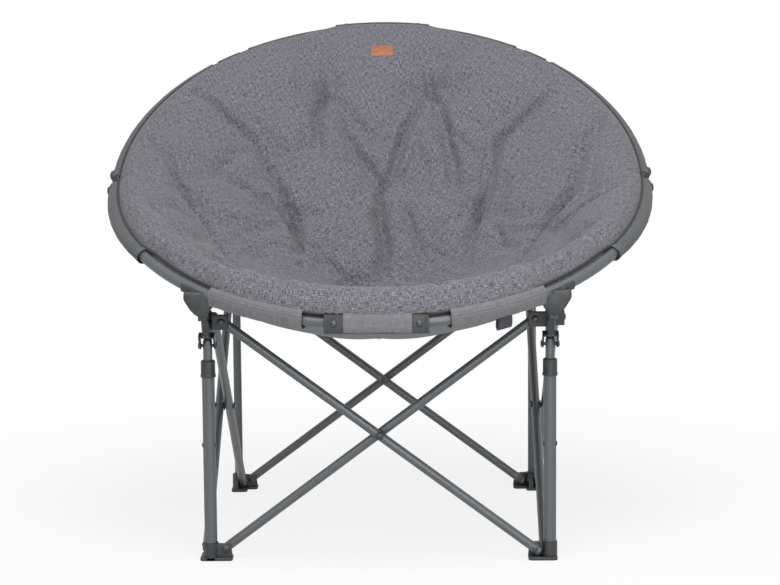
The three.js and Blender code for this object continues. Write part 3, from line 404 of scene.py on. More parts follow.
def facing(point, way):
    """Turns the Z axis to a way and moves the origin to a point."""
    return Matrix.Translation(point) @ Vector(way).to_track_quat("Z", "Y").to_matrix().to_4x4()


def corner_post(side, y):
    """The place of the post that stands at a corner of the base."""
    return Matrix.Translation((side * half_side, y, 0))


hands = (("left", -1), ("right", 1))
outer_post_radius = 11 * MM
for hand, side in hands:
    low, high = (corner.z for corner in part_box(f"outer_post_front_{hand}"))
    post = bmesh.new()
    added(post, open_tube(outer_post_radius, low, high))
    for way in (-1, 1):
        at = (way * (outer_post_radius - rivet_sink), 0, post_rivet_height)
        added(post, dome(rivet_radius, rivet_height), facing(at, (way, 0, 0)), surface=1)
    finished(f"outer_post_{hand}_tube", post, [powder_coat, black_zinc], f"stand_front_{hand}",
        [f"outer_post_front_{hand}"], place=corner_post(side, front_post_y))

# Collars: nylon rings pressed on the tops of the outer posts, in which the inner posts slide. Each has
# a thin flange below and a rounded lip at its top.
collar_radius = 13.2 * MM
collar_bore = 8.3 * MM
collar_waist = 12.4 * MM
collar_round = 2 * MM
collar_flange = 5 * MM
for hand, side in hands:
    low, high = (corner.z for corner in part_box(f"collar_front_{hand}"))
    collar = turned([
        (collar_bore, high - collar_round / 2), (collar_bore + collar_round, high),
        (collar_waist - collar_round, high), (collar_waist, high - collar_round),
        (collar_waist, low + collar_flange + collar_round / 2),
        (collar_radius, low + collar_flange), (collar_radius, low + collar_round / 2),
        (collar_radius - collar_round / 2, low), (collar_bore, low),
    ], closed=True)
    finished(f"collar_{hand}_ring", collar, [nylon], f"stand_front_{hand}",
        [f"collar_front_{hand}"], place=corner_post(side, front_post_y))

# Front inner posts: thinner tubes that slide out of the outer posts as the base folds.
inner_post_radius = 8 * MM


def plain_post(name, node, radius, body, place):
    """A coated tube as high as the post's node."""
    low, high = (corner.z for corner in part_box(node))
    finished(name, open_tube(radius, low, high), [powder_coat], body, [node], place=place)


for hand, side in hands:
    plain_post(f"inner_post_{hand}_tube", f"inner_post_front_{hand}", inner_post_radius, f"top_front_{hand}",
        corner_post(side, front_post_y))

# Back posts: one long tube each, from the foot to the bracket behind the back of the rim.
back_post_radius = 8 * MM
for hand, side in hands:
    plain_post(f"back_post_{hand}_tube", f"post_back_{hand}", back_post_radius, f"stand_back_{hand}",
        corner_post(side, back_post_y))

# Scissor tubes: a crossed pair on each side of the base, riveted to the lugs of the feet and hubs at
# their ends. The same satin coat as the posts; the cut ends are closed by a pressed plug.
scissor_radius = 8 * MM
scissor_offset = 9 * MM
scissor_reach = 10 * MM
pivot_inset = 26 * MM
foot_pivot_height = 20 * MM
hub_pivot_height = 418 * MM
rivet_pin_radius = 3 * MM
rivet_head_radius = 6.5 * MM
rivet_head_height = 3 * MM
rivet_head_clear = 0.3 * MM
rivet_tail_sink = 0.4 * MM
inside_lug = lug_thickness - lug_face
outside_lug = scissor_offset + scissor_radius + lug_face + lug_thickness
pivot_half = half_side - pivot_inset
sides = ("front", "left", "back", "right")


def side_place(turns):
    """A side of the base, by quarter turns from the front."""
    about = Matrix.Rotation(-turns * pi / 2, 4, "Z")
    return Matrix.Translation(base_middle) @ about @ Matrix.Translation((0, -half_side, 0))


def closed_bar(radius, length):
    """A bar round the Z axis, closed at both ends, with its middle at the origin."""
    half = length / 2
    return turned([
        (0, half - tube_lip), (radius - 2 * tube_lip, half - tube_lip), (radius - 2 * tube_lip, half),
        (radius - tube_lip, half), (radius, half - tube_lip), (radius, tube_lip - half),
        (radius - tube_lip, -half), (radius - 2 * tube_lip, -half), (radius - 2 * tube_lip, tube_lip - half),
        (0, tube_lip - half),
    ])


for turns, name in enumerate(sides):
    for kind, plane, foot_x, lug_fars in (
        ("outer", -scissor_offset, pivot_half, (inside_lug, -outside_lug)),
        ("inner", scissor_offset, -pivot_half, (-inside_lug, -inside_lug)),
    ):
        low = Vector((foot_x, plane, foot_pivot_height))
        high = Vector((-foot_x, plane, hub_pivot_height))
        tube = bmesh.new()
        length = (high - low).length + 2 * scissor_reach
        added(tube, closed_bar(scissor_radius, length), facing((low + high) / 2, high - low))
        for pivot, lug_far in zip((low, high), lug_fars):
            way = 1 if lug_far > plane else -1
            pin = abs(lug_far - plane) + scissor_radius
            at = Vector((pivot.x, (lug_far + plane - way * scissor_radius) / 2, pivot.z))
            added(tube, closed_bar(rivet_pin_radius, pin), facing(at, (0, way, 0)), surface=1)
            head = Vector((pivot.x, lug_far + way * rivet_head_clear, pivot.z))
            added(tube, dome(rivet_head_radius, rivet_head_height), facing(head, (0, way, 0)), surface=1)
            tail = Vector((pivot.x, plane - way * (scissor_radius - rivet_tail_sink), pivot.z))
            added(tube, dome(rivet_radius, rivet_height), facing(tail, (0, -way, 0)), surface=1)
        finished(f"scissor_{name}_{kind}_tube", tube, [powder_coat, black_zinc], f"scissor_{name}_{kind}",
            [f"scissor_{name}_{kind}"], place=side_place(turns))

# Crossing bolts: a black bolt with a domed head, a nut and a nylon washer between the crossed tubes.
crossing_head_radius = 7 * MM
crossing_head_height = 3.6 * MM
washer_radius = 8.5 * MM
washer_thickness = 1.4 * MM
nut_edge = 0.5 * MM
for turns, name in enumerate(sides):
    height = (foot_pivot_height + hub_pivot_height) / 2
    near = scissor_offset + scissor_radius
    bolt = bmesh.new()
    added(bolt, closed_bar(rivet_pin_radius, 2 * near), facing((0, 0, height), (0, 1, 0)))
    added(bolt, dome(crossing_head_radius, crossing_head_height), facing((0, -near, height), (0, -1, 0)))
    nut = bmesh.new()
    bmesh.ops.create_cone(nut, cap_ends=True, segments=6, radius1=crossing_head_radius,
        radius2=crossing_head_radius, depth=crossing_head_height)
    rounded(nut, nut.edges[:], nut_edge, 2)
    added(bolt, nut, facing((0, near + crossing_head_height / 2, height), (0, 1, 0)))
    added(bolt, closed_bar(washer_radius, washer_thickness), facing((0, 0, height), (0, 1, 0)), surface=1)
    finished(f"crossing_bolt_{name}_set", bolt, [black_zinc, nylon], f"scissor_{name}_inner",
        [f"crossing_bolt_{name}"], place=side_place(turns))

# Hubs, saddles and brackets: chunky nylon mouldings. Hubs take the upper ends of the scissor tubes,
# saddles hold the rim from below, and brackets cap the back posts. Their moulds leave soft edges.
mould_voxel = 1 * MM
mould_smoothing = 3


def softened(node, voxel=mould_voxel, smoothing=mould_smoothing):
    """A moulding with soft edges, from a merged copy of a CAD node."""
    source = bmesh.new()
    source.from_mesh(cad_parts[node].data)
    bmesh.ops.remove_doubles(source, verts=source.verts, dist=mesh_tolerance)
    mesh = bpy.data.meshes.new("source")
    source.to_mesh(mesh)
    source.free()
    thing = bpy.data.objects.new("source", mesh)
    scene.collection.objects.link(thing)
    remesh = thing.modifiers.new("remesh", "REMESH")
    remesh.mode = "VOXEL"
    remesh.voxel_size = voxel
    result = thing.evaluated_get(bpy.context.evaluated_depsgraph_get()).to_mesh()
    shape = bmesh.new()
    shape.from_mesh(result)
    bpy.data.objects.remove(thing)
    for turn in range(smoothing):
        bmesh.ops.smooth_vert(shape, verts=shape.verts, factor=0.5, use_axis_x=True, use_axis_y=True,
            use_axis_z=True)
    return shape


mouldings = [(f"hub_front_{hand}", f"top_front_{hand}") for hand, side in hands]
mouldings += [(f"hub_back_{hand}", f"slider_back_{hand}") for hand, side in hands]
for end in ("front", "back"):
    mouldings += [(f"saddle_{end}_{hand}", f"seat_{end}_{hand}") for hand, side in hands]
mouldings += [(f"bracket_back_{hand}", f"stand_back_{hand}") for hand, side in hands]
cheek_outline = (
    (323, 478), (324, 465), (313, 447), (303, 437), (288, 436), (279, 446), (272, 457), (272, 466),
    (288, 476),
)
cheek_front = -338 * MM
cheek_depth = 46 * MM
cheek_edge = 3.5 * MM
for node, body in mouldings:
    moulding = softened(node)
    if node.startswith("saddle_front"):
        side = -1 if node.endswith("left") else 1
        cheek = bmesh.new()
        corners = [cheek.verts.new((side * x * MM, cheek_front, z * MM)) for x, z in cheek_outline]
        flat = cheek.faces.new(corners)
        grown = bmesh.ops.extrude_face_region(cheek, geom=[flat])
        moved = [part for part in grown["geom"] if isinstance(part, bmesh.types.BMVert)]
        bmesh.ops.translate(cheek, verts=moved, vec=(0, cheek_depth, 0))
        bmesh.ops.recalc_face_normals(cheek, faces=cheek.faces)
        rounded(cheek, cheek.edges[:], cheek_edge, 3)
        added(moulding, cheek)
    finished(f"{node}_moulding", moulding, [nylon], body, [node], sharp=60)

# Front forks: bent steel plates with a short leaning stub tube, pinned through the inner posts. They
# are pressed and welded, then plated black.
for hand, side in hands:
    finished(f"fork_{hand}_pressing", softened(f"fork_front_{hand}"), [black_zinc], f"fork_{hand}",
        [f"fork_front_{hand}"], sharp=60)

# Rim: four bent tubes of the same coated steel, on a circle that is folded along the line between the
# two side hinges. Their ends are pinned in the front and back channels.
rim_radius = 478 * MM
rim_tube_radius = 9.5 * MM
rim_hinge = Vector((0, 19.835 * MM, 634 * MM))
front_tilt = radians(25)
back_tilt = radians(35)
channel_pin = 70 * MM
channel_end = 86 * MM
channel_side = 16.2 * MM
knuckle_gap = 15 * MM
swivel_lean = radians(18.09)
pin_angle = asin(channel_pin / rim_radius)
bend_steps = 48
bend_look_ahead = 0.001
tube_sides = 28
rim_pin_clear = 0.3 * MM
rim_pin_head_radius = 5.5 * MM
rim_pin_head_height = 2.2 * MM


def rim_tilt(angle):
    """The tilt of the rim's plane, front or back. Angles run from the front middle to the left."""
    return front_tilt if cos(angle) > 0 else back_tilt


def rim_point(angle, out=0, off=0):
    """A point by the rim's centre line: out from the middle in the rim's plane, and off that plane."""
    tilt = rim_tilt(angle)
    forward = -(rim_radius + out) * cos(angle)
    return rim_hinge + Vector((
        -(rim_radius + out) * sin(angle),
        forward * cos(tilt) - off * sin(tilt),
        forward * sin(tilt) + off * cos(tilt),
    ))


def bent_tube(start, end, radius, steps=bend_steps):
    """A closed tube along the rim between two angles."""
    tilt = rim_tilt((start + end) / 2)
    axis = Vector((0, -sin(tilt), cos(tilt)))
    element = bmesh.new()
    along = (rim_point(start + bend_look_ahead) - rim_point(start)).normalized()
    bmesh.ops.create_circle(element, segments=tube_sides, radius=radius,
        matrix=facing(rim_point(start), along))
    bmesh.ops.spin(element, geom=element.verts[:] + element.edges[:], cent=rim_hinge, axis=axis,
        angle=start - end, steps=steps)
    bmesh.ops.holes_fill(element, edges=[e for e in element.edges if e.is_boundary], sides=tube_sides)
    return element


def rim_ball(angle, radius):
    """A ball on the rim's centre line that rounds off the end of a tube."""
    element = bmesh.new()
    bmesh.ops.create_uvsphere(element, u_segments=tube_sides, v_segments=tube_sides // 2, radius=radius,
        matrix=Matrix.Translation(rim_point(angle)))
    return element


knuckle_turn = knuckle_gap / rim_radius
back_pin_way = (0, sin(swivel_lean), cos(swivel_lean))
rim_quarters = []
for hand, side in hands:
    front_end = -side * (pi / 2 - knuckle_turn)
    back_end = -side * (pi / 2 + knuckle_turn)
    rim_quarters.append((f"front_{hand}", -side * pin_angle, front_end, (0, 1, 0)))
    rim_quarters.append((f"back_{hand}", -side * (pi - pin_angle), back_end, back_pin_way))
for name, start, end, pin_way in rim_quarters:
    tube = bmesh.new()
    added(tube, bent_tube(start, end, rim_tube_radius))
    added(tube, rim_ball(start, rim_tube_radius))
    reach = channel_side + rim_pin_clear
    added(tube, closed_bar(rivet_pin_radius, 2 * reach), facing(rim_point(start), pin_way), surface=1)
    for way in (-1, 1):
        at = rim_point(start) + way * reach * Vector(pin_way)
        head = dome(rim_pin_head_radius, rim_pin_head_height)
        added(tube, head, facing(at, way * Vector(pin_way)), surface=1)
    finished(f"rim_{name}_tube", tube, [powder_coat, black_zinc], f"seat_{name}", [f"rim_{name}"])

# Side knuckles: nylon ends on the rim tubes at the two side hinges. Each has a domed cap that stands
# out through the sleeve.
knuckle_length = 32 * MM
knuckle_radius = 11.8 * MM
knuckle_dome_radius = 8.6 * MM
knuckle_dome_rise = 17.5 * MM
knuckle_dome_inset = 10 * MM
knuckle_dome = ((0, 0), (0.5, 0.5), (0.82, 1.8), (1, 4.2), (1, 5.4), (1.12, 5.8))
for name, start, end, pin_way in rim_quarters:
    back = 1 if start > end else -1
    knuckle = bmesh.new()
    added(knuckle, bent_tube(end + back * knuckle_length / rim_radius, end, knuckle_radius, steps=8))
    added(knuckle, rim_ball(end, knuckle_radius))
    angle = end + back * knuckle_dome_inset / rim_radius
    root = rim_point(angle)
    outward = (rim_point(angle, out=1) - root).normalized()
    profile = [(share * knuckle_dome_radius, knuckle_dome_rise - drop * MM) for share, drop in knuckle_dome]
    cap = turned([*profile, (profile[-1][0], 0), (0, 0)])
    added(knuckle, cap, facing(root, outward))
    finished(f"knuckle_{name}_moulding", knuckle, [nylon], f"seat_{name}", [f"knuckle_{name}"])

# Hinge channels: nylon channels over the middle of the front and of the back, open below. The left rim
# tube turns on a pin in each, and the right one slides and turns. Only an ear closes the seat's side.
front_channel_roof = 15.2 * MM
back_channel_roof = 12 * MM
back_channel_side = 12.6 * MM
channel_wall = 3 * MM
channel_skirt = 16 * MM
ear_length = 32 * MM
ear_skirt = 6 * MM
channel_edge = 1.2 * MM
rib_edge = 0.3 * MM
rib_proud = 1 * MM
rib_short = 2 * MM
rib_inset = 4 * MM
rib_share = 0.3
for name, lean, half_depth, roof, seat_way in (
    ("front", 0, channel_side, front_channel_roof, 1),
    ("back", pi / 2 - swivel_lean, back_channel_side, back_channel_roof, -1),
):
    outside = -seat_way * half_depth
    inside = seat_way * half_depth
    channel = bmesh.new()
    wall_low = (-channel_end, min(outside, outside + seat_way * channel_wall), -channel_skirt)
    wall_high = (channel_end, max(outside, outside + seat_way * channel_wall), roof - channel_wall / 2)
    added(channel, block(wall_low, wall_high, channel_edge))
    roof_low = (-channel_end, -half_depth, roof - channel_wall)
    added(channel, block(roof_low, (channel_end, half_depth, roof), channel_edge))
    ear_low = (-channel_end, min(inside, inside - seat_way * channel_wall), -ear_skirt)
    ear_back = max(inside, inside - seat_way * channel_wall)
    ear_high = (ear_length - channel_end, ear_back, roof - channel_wall / 2)
    added(channel, block(ear_low, ear_high, channel_edge))
    end_rib = channel_end - rib_inset
    middle_rib = rib_share * channel_end
    for x in (-end_rib, -middle_rib, middle_rib, end_rib):
        rib_face = outside - seat_way * rib_proud
        rib_low = (x - channel_wall / 2, min(outside, rib_face), rib_short - channel_skirt)
        rib_high = (x + channel_wall / 2, max(outside, rib_face), roof - rib_short)
        added(channel, block(rib_low, rib_high, rib_edge))
    pin = rim_point(pin_angle if name == "front" else pi - pin_angle)
    leaning = Matrix.Translation((0, pin.y, pin.z)) @ Matrix.Rotation(lean, 4, "X")
    finished(f"hinge_channel_{name}_moulding", channel, [nylon], f"hinge_{name}",
        [f"hinge_channel_{name}"], place=leaning)

# Seat shell: the fabric sling under the pad, sewn from twelve gores that meet under the middle. Plain
# grey polyester, hung in the rim's sleeves; the felled seams between the gores stand out a little.
bowl_front_drop = 60 * MM
bowl_bottom_ahead = 70 * MM
front_bowl_power = 2.2
back_bowl_power = 1.5
normal_floor_share = 0.15
share_step = 0.01
bowl_bottom = np.array((0, rim_hinge.y - bowl_bottom_ahead, rim_point(0).z - bowl_front_drop))


def rim_line(angle):
    """Points of the rim's centre line at an array of angles, with the ways out of it and off its plane."""
    tilt = np.where(np.cos(angle) > 0, front_tilt, back_tilt)
    forward = -np.cos(angle)
    out = np.stack([-np.sin(angle), forward * np.cos(tilt), forward * np.sin(tilt)], -1)
    off = np.stack([0 * tilt, -np.sin(tilt), np.cos(tilt)], -1)
    return np.array(rim_hinge) + rim_radius * out, out, off


def bowl_points(angle, share):
    """Points of the bowl: straight in plan from its lowest point to the rim, steeper towards the rim."""
    edge = rim_line(angle)[0]
    power = front_bowl_power + (back_bowl_power - front_bowl_power) * (1 - np.cos(angle)) / 2
    spread = np.stack([share, share, np.maximum(share, 0) ** power], -1)
    return bowl_bottom + (edge - bowl_bottom) * spread


def bowl_normals(angle, share):
    """The way off the bowl, upright at its lowest point."""
    sloped = np.maximum(share, normal_floor_share)
    around = bowl_points(angle + share_step, sloped) - bowl_points(angle - share_step, sloped)
    outward = bowl_points(angle, sloped + share_step) - bowl_points(angle, sloped - share_step)
    normal = np.cross(around, outward)
    normal /= np.linalg.norm(normal, axis=-1, keepdims=True)
    normal *= np.where(normal[..., 2:] < 0, -1, 1)
    steep = np.minimum(share / normal_floor_share, 1)[..., None]
    normal = normal * steep + np.array((0, 0, 1)) * (1 - steep)
    return normal / np.linalg.norm(normal, axis=-1, keepdims=True)


def bowl_slope(angle):
    """The length of the bowl's slope at the rim for a whole share."""
    ones = np.ones_like(angle)
    step = bowl_points(angle, ones) - bowl_points(angle, ones - share_step)
    return np.linalg.norm(step, axis=-1) / share_step


def eased(low, high, value):
    """Rises smoothly from 0 to 1 as a value goes from low to high."""
    share = np.clip((value - low) / (high - low), 0, 1)
    return share * share * (3 - 2 * share)


gore_turn = pi / 6
gore_numbers = range(-6, 6)


def woven(name, width, length, yarn_noise, dark, light, settings, relief):
    """A cloth of crossed yarns of a width, which keep their colour over a length, on the piece's UV map."""
    material, tree = blank_material(name)
    place = add_node(tree, "ShaderNodeUVMap", {"uv_map": "cloth"})
    yarns = []
    for scale in ((1 / width, 1 / length, 1), (1 / length, 1 / width, 1)):
        stretched = add_node(tree, "ShaderNodeMapping", {"Scale": scale}, {"Vector": place.outputs[0]})
        yarns.append(add_node(tree, "ShaderNodeTexNoise", {"Scale": 1, **yarn_noise},
            {"Vector": stretched.outputs[0]}))
    both = add_node(tree, "ShaderNodeMix", {"data_type": "FLOAT", 0: 0.5},
        {2: yarns[0].outputs[0], 3: yarns[1].outputs[0]})
    surfaced(tree, both, dark, light, settings, relief=(both, *relief))
    return material


thread_pitch = 1.5 * MM
thread_run = 12.5


# Oxford polyester: a plain weave of matt yarn, drawn about three times as coarse as it is so that it
# shows, with an uneven grey from thread to thread
def oxford(name, dark, light, pitch=thread_pitch):
    """A plain woven cloth in two near greys."""
    return woven(name, pitch, thread_run * pitch, {"Detail": 1}, (dark, 0.36), (light, 0.64),
        {"Roughness": 0.82, "IOR": 1.5, "Sheen Weight": 0.12}, (0.3, 0.25 * MM))


grey_oxford = oxford("grey_oxford_polyester", "#5e5f62", "#727376")
dark_oxford = oxford("dark_grey_oxford_polyester", "#46484a", "#56585a")


def draped(columns, rows, place, width, length):
    """A grid of cloth whose points are placed by their shares across and along, with its UV map in metres."""
    cloth = bmesh.new()
    bmesh.ops.create_grid(cloth, x_segments=columns, y_segments=rows, size=0.5)
    layer = cloth.loops.layers.uv.new("cloth")
    for face in cloth.faces:
        for corner in face.loops:
            corner[layer].uv = ((corner.vert.co.x + 0.5) * width, (corner.vert.co.y + 0.5) * length)
    shares = np.array([tuple(vertex.co) for vertex in cloth.verts])[:, :2] + 0.5
    for vertex, point in zip(cloth.verts, place(shares[:, 0], shares[:, 1])):
        vertex.co = point
    cloth.normal_update()
    return cloth


def cloth_area(cloth):
    """The area of a cloth that has no thickness yet."""
    return sum(face.calc_area() for face in cloth.faces)


def squashed_to_rim(thing, middle):
    """Gives a piece of the seat its own copy of its mesh, and works out the way in from the rim at an angle,
    which is not used.
    """
    edge = rim_line(np.array([middle]))[0][0]
    inward = edge - bowl_bottom
    inward /= np.linalg.norm(inward)
    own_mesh(thing)


def seat_body(angle):
    """The quarter of the seat that an angle of the rim lies in."""
    end = "front" if cos(angle) > 0 else "back"
    return f"seat_{end}_{'left' if sin(angle) > 0 else 'right'}"


front_saddle_x = 304.5 * MM
front_saddle_angle = asin(front_saddle_x / rim_radius)
back_saddle_angle = pi - asin(half_side / rim_radius)
shell_edge_inset = 15 * MM
shell_notch_inset = 42 * MM
shell_channel_inset = 30 * MM
shell_channel_fade = 12 * MM
shell_notch_half = 30 * MM
shell_notch_fade = 1.6
gore_tip_share = 0.012
gore_belly = 3 * MM
gore_columns = 24
gore_rows = 40
slope_steps = 30
shell_thickness = 1.6 * MM
seam_ridge = 1.3 * MM
seam_half_width = 3.5 * MM


def shell_inset(angle):
    """How far the shell's edge keeps from the rim: further at the saddles and at the hinge channels."""
    turn = np.abs(angle)
    inset = np.full_like(turn, shell_edge_inset)
    for saddle in (front_saddle_angle, back_saddle_angle):
        from_saddle = np.abs(turn - saddle) * rim_radius
        near = 1 - eased(shell_notch_half, shell_notch_fade * shell_notch_half, from_saddle)
        inset = np.maximum(inset, shell_edge_inset + (shell_notch_inset - shell_edge_inset) * near)
    from_middle = rim_radius * np.abs(np.sin(turn))
    near = 1 - eased(channel_end, channel_end + shell_channel_fade, from_middle)
    return np.maximum(inset, shell_edge_inset + (shell_channel_inset - shell_edge_inset) * near)


for number in gore_numbers:
    start = number * gore_turn
    middle = start + gore_turn / 2

    def gore_place(across, along):
        """A point of the gore, with its columns drawn together at the seams."""
        turn = (1 - np.cos(pi * across)) / 2
        angle = start + gore_turn * turn
        edge_share = 1 - shell_inset(angle) / bowl_slope(angle)
        share = gore_tip_share + along * (edge_share - gore_tip_share)
        seam = np.minimum(turn, 1 - turn) * gore_turn * rim_radius * share
        ridge = seam_ridge * np.exp(-((seam / seam_half_width) ** 2))
        puff = gore_belly * np.sin(pi * turn) * np.sin(pi * along)
        return bowl_points(angle, share) - (ridge + puff)[:, None] * bowl_normals(angle, share)

    gore = draped(gore_columns, gore_rows, gore_place, gore_turn * rim_radius, rim_radius)
    area = cloth_area(gore)
    bmesh.ops.recalc_face_normals(gore, faces=gore.faces)
    bmesh.ops.solidify(gore, geom=gore.faces[:], thickness=shell_thickness)
    body = seat_body(middle)
    name = f"shell_gore_{number + len(gore_numbers) // 2 + 1:02d}"
    replaced = [body.replace("seat", "shell")]
    thing = finished(name, gore, [grey_oxford], body, replaced, sharp=60)
    slope = bowl_points(np.full(slope_steps, middle), np.linspace(0, 1, slope_steps))
    slope_length = float(np.linalg.norm(np.diff(slope, axis=0), axis=1).sum())
    flat = (gore_turn * rim_radius, slope_length)
    squashed_to_rim(thing, middle)

# Sleeves: tunnels of oxford cloth sewn round the rim tubes. They leave the tubes bare at the saddles,
# and each ends in a turned hem. The front pair is lighter and deeper, and the pad is sewn on above it.
sleeve_thickness = 0.9 * MM
hem_width = 9 * MM
hem_swell = 0.045
side_sleeve_belly = 0.3
sleeve_round_share = 0.72
sleeve_lap = 24 * MM
sleeve_under_shell = 2.6 * MM
sleeve_column = 4 * MM
sleeve_rows = 72
sleeve_cloth_round = 75 * MM
sleeve_wrinkles = ((0.012, 37, 5), (0.01, 83, -9))
stitch_rows = (0.13, 0.2)
stitch_row_width = 0.014
stitch_row_sink = 0.07
edge_turns = np.radians((0, 33, 37, 55, 59, 165, 170, 180))
edge_outs = np.array((3, 3, -17, -17, -4, -4, -1, -1)) * MM
edge_offs = np.array((22, 22, 5, 5, 13, 13, 17, 17)) * MM
front_profile = ((3, 22), (9, 17), (12.6, 9), (13.4, 0), (12, -8), (7, -14), (-1, -17))
side_profile = ((-4, 13), (3, 13), (11, 8.5), (14, 0), (11, -9), (4, -13.5), (-5, -14.5))
back_profile = ((-4, 13), (3, 13), (10.5, 8), (12.6, 0), (10, -8.5), (3, -12.5), (-6, -12.5))
channel_profile = ((-1, 17), (7, 17.5), (16, 9), (20, -1), (18, -12), (6, -18), (-6, -21))
sleeves = (
    ("front", 14.5, 35, front_profile, grey_oxford),
    ("side_front", 57.5, 88.6, side_profile, dark_oxford),
    ("side_back", 91.4, 137, back_profile, dark_oxford),
    ("back", 147.5, 169, back_profile, dark_oxford),
)


def edge_line(angle):
    """The line along which the pad is sewn to its sleeve or bound."""
    centre, out, off = rim_line(angle)
    turn = np.abs(angle)
    outs = np.interp(turn, edge_turns, edge_outs)[..., None]
    offs = np.interp(turn, edge_turns, edge_offs)[..., None]
    return centre + out * outs + off * offs


def run_lengths(line):
    """The length of a line up to each of its points."""
    return np.concatenate([[0], np.cumsum(np.linalg.norm(np.diff(line, axis=0), axis=1))])


def smooth_profile(points, count=33):
    """An outline through a few points with its corners cut three times."""
    line = np.array(points, float) * MM
    for cut in range(3):
        near = line[:-1] * 0.75 + line[1:] * 0.25
        far = line[:-1] * 0.25 + line[1:] * 0.75
        line = np.concatenate([line[:1], np.stack([near, far], 1).reshape(-1, 2), line[-1:]])
    length = run_lengths(line)
    evenly = np.linspace(0, length[-1], count)
    return np.stack([np.interp(evenly, length, line[:, 0]), np.interp(evenly, length, line[:, 1])], -1)


def along_profile(profile, share):
    """Both measures of an outline at shares of its run."""
    index = share * (len(profile) - 1)
    numbers = np.arange(len(profile))
    return np.interp(index, numbers, profile[:, 0]), np.interp(index, numbers, profile[:, 1])


def sleeve_points(profile, angle, along, swell=1):
    """Points of a sleeve: round the tube by its profile, then in under the shell."""
    centre, out, off = rim_line(angle)
    share = 1 - sleeve_lap / bowl_slope(angle)
    end = bowl_points(angle, share) - sleeve_under_shell * bowl_normals(angle, share)
    outs, offs = along_profile(profile, np.clip(along / sleeve_round_share, 0, 1))
    offs = np.where(offs < 0, offs * swell, offs)
    round_tube = centre + out * (outs * swell)[..., None] + off * offs[..., None]
    inward = np.clip((along - sleeve_round_share) / (1 - sleeve_round_share), 0, 1)[..., None]
    return round_tube * (1 - inward) + end * inward


for name, low, high, profile, material in sleeves:
    outline = smooth_profile(profile)
    for hand, side in hands:
        start, end = -side * radians(low), -side * radians(high)

        def sleeve_place(across, along):
            """A point of the sleeve, with turned hems, two sunk rows of stitches and a few soft wrinkles."""
            angle = start + (end - start) * across
            run = np.minimum(across, 1 - across) * abs(end - start) * rim_radius
            hem = np.where(run < hem_width, hem_swell, 0)
            belly = side_sleeve_belly * np.sin(pi * across) if name == "side_front" else 0
            wrinkle = sum(size * np.sin(a * across + b * along) for size, a, b in sleeve_wrinkles)
            near_row = np.minimum(*(np.abs(along - row) for row in stitch_rows)) / stitch_row_width
            stitched = stitch_row_sink * np.exp(-(near_row**2))
            return sleeve_points(outline, angle, along, 1 + hem + belly + wrinkle - stitched)

        length = radians(high - low) * rim_radius
        cloth = draped(int(length / sleeve_column), sleeve_rows, sleeve_place, length, sleeve_cloth_round)
        area = cloth_area(cloth)
        if side > 0:
            bmesh.ops.reverse_faces(cloth, faces=cloth.faces)
            cloth.normal_update()
        bmesh.ops.solidify(cloth, geom=cloth.faces[:], thickness=sleeve_thickness)
        body = seat_body(start)
        thing = finished(f"sleeve_{name}_{hand}", cloth, [material], body, sharp=60)

# Channel flaps: a lap of the same cloth over the middle of the front channel, and another that hides the
# back channel. They are sewn into the pad's seam and pulled round under the channel.
flap_outset = 2.2 * MM
front_flap_left = -54 * MM
front_flap_right = 58 * MM
back_flap_half = 90 * MM
flap_ripple = 0.5 * MM
flap_columns = 40
flap_rows = 30
front_pin = rim_point(pin_angle)
flap_top = Vector(edge_line(np.array([0.0]))[0])
front_flap_line = np.array((
    (flap_top.y, flap_top.z),
    (front_pin.y - 0.8 * channel_side, front_pin.z + front_channel_roof + 2 * flap_outset),
    (front_pin.y - channel_side - flap_outset, front_pin.z + 0.7 * front_channel_roof),
    (front_pin.y - channel_side - flap_outset, front_pin.z),
    (front_pin.y - channel_side - flap_outset, front_pin.z - 0.7 * channel_skirt),
    (front_pin.y - 0.7 * channel_side, front_pin.z - channel_skirt - flap_outset),
    (front_pin.y + channel_side, front_pin.z - channel_skirt - 1.5 * flap_outset),
)) / MM


def front_flap_place(across, along):
    """A point of the front flap, straight across between its ends, with a small ripple."""
    x = front_flap_left + (front_flap_right - front_flap_left) * across
    y, z = along_profile(smooth_profile(front_flap_line), along)
    ripple = flap_ripple * np.sin(9 * across + 4 * along)
    return np.stack([x, y + ripple * (1 - along), z + 0.4 * ripple], -1)


def back_flap_place(across, along):
    """A point of the back flap, round the channel by a wide profile."""
    angle = pi + (2 * across - 1) * asin(back_flap_half / rim_radius)
    return sleeve_points(smooth_profile(channel_profile), angle, along)


for name, place_of, width, length, material in (
    ("front", front_flap_place, front_flap_right - front_flap_left, 86 * MM, grey_oxford),
    ("back", back_flap_place, 2 * back_flap_half, 98 * MM, dark_oxford),
):
    cloth = draped(flap_columns, flap_rows, place_of, width, length)
    area = cloth_area(cloth)
    bmesh.ops.recalc_face_normals(cloth, faces=cloth.faces)
    bmesh.ops.solidify(cloth, geom=cloth.faces[:], thickness=sleeve_thickness)
    thing = finished(f"channel_flap_{name}", cloth, [material], f"hinge_{name}", sharp=60)
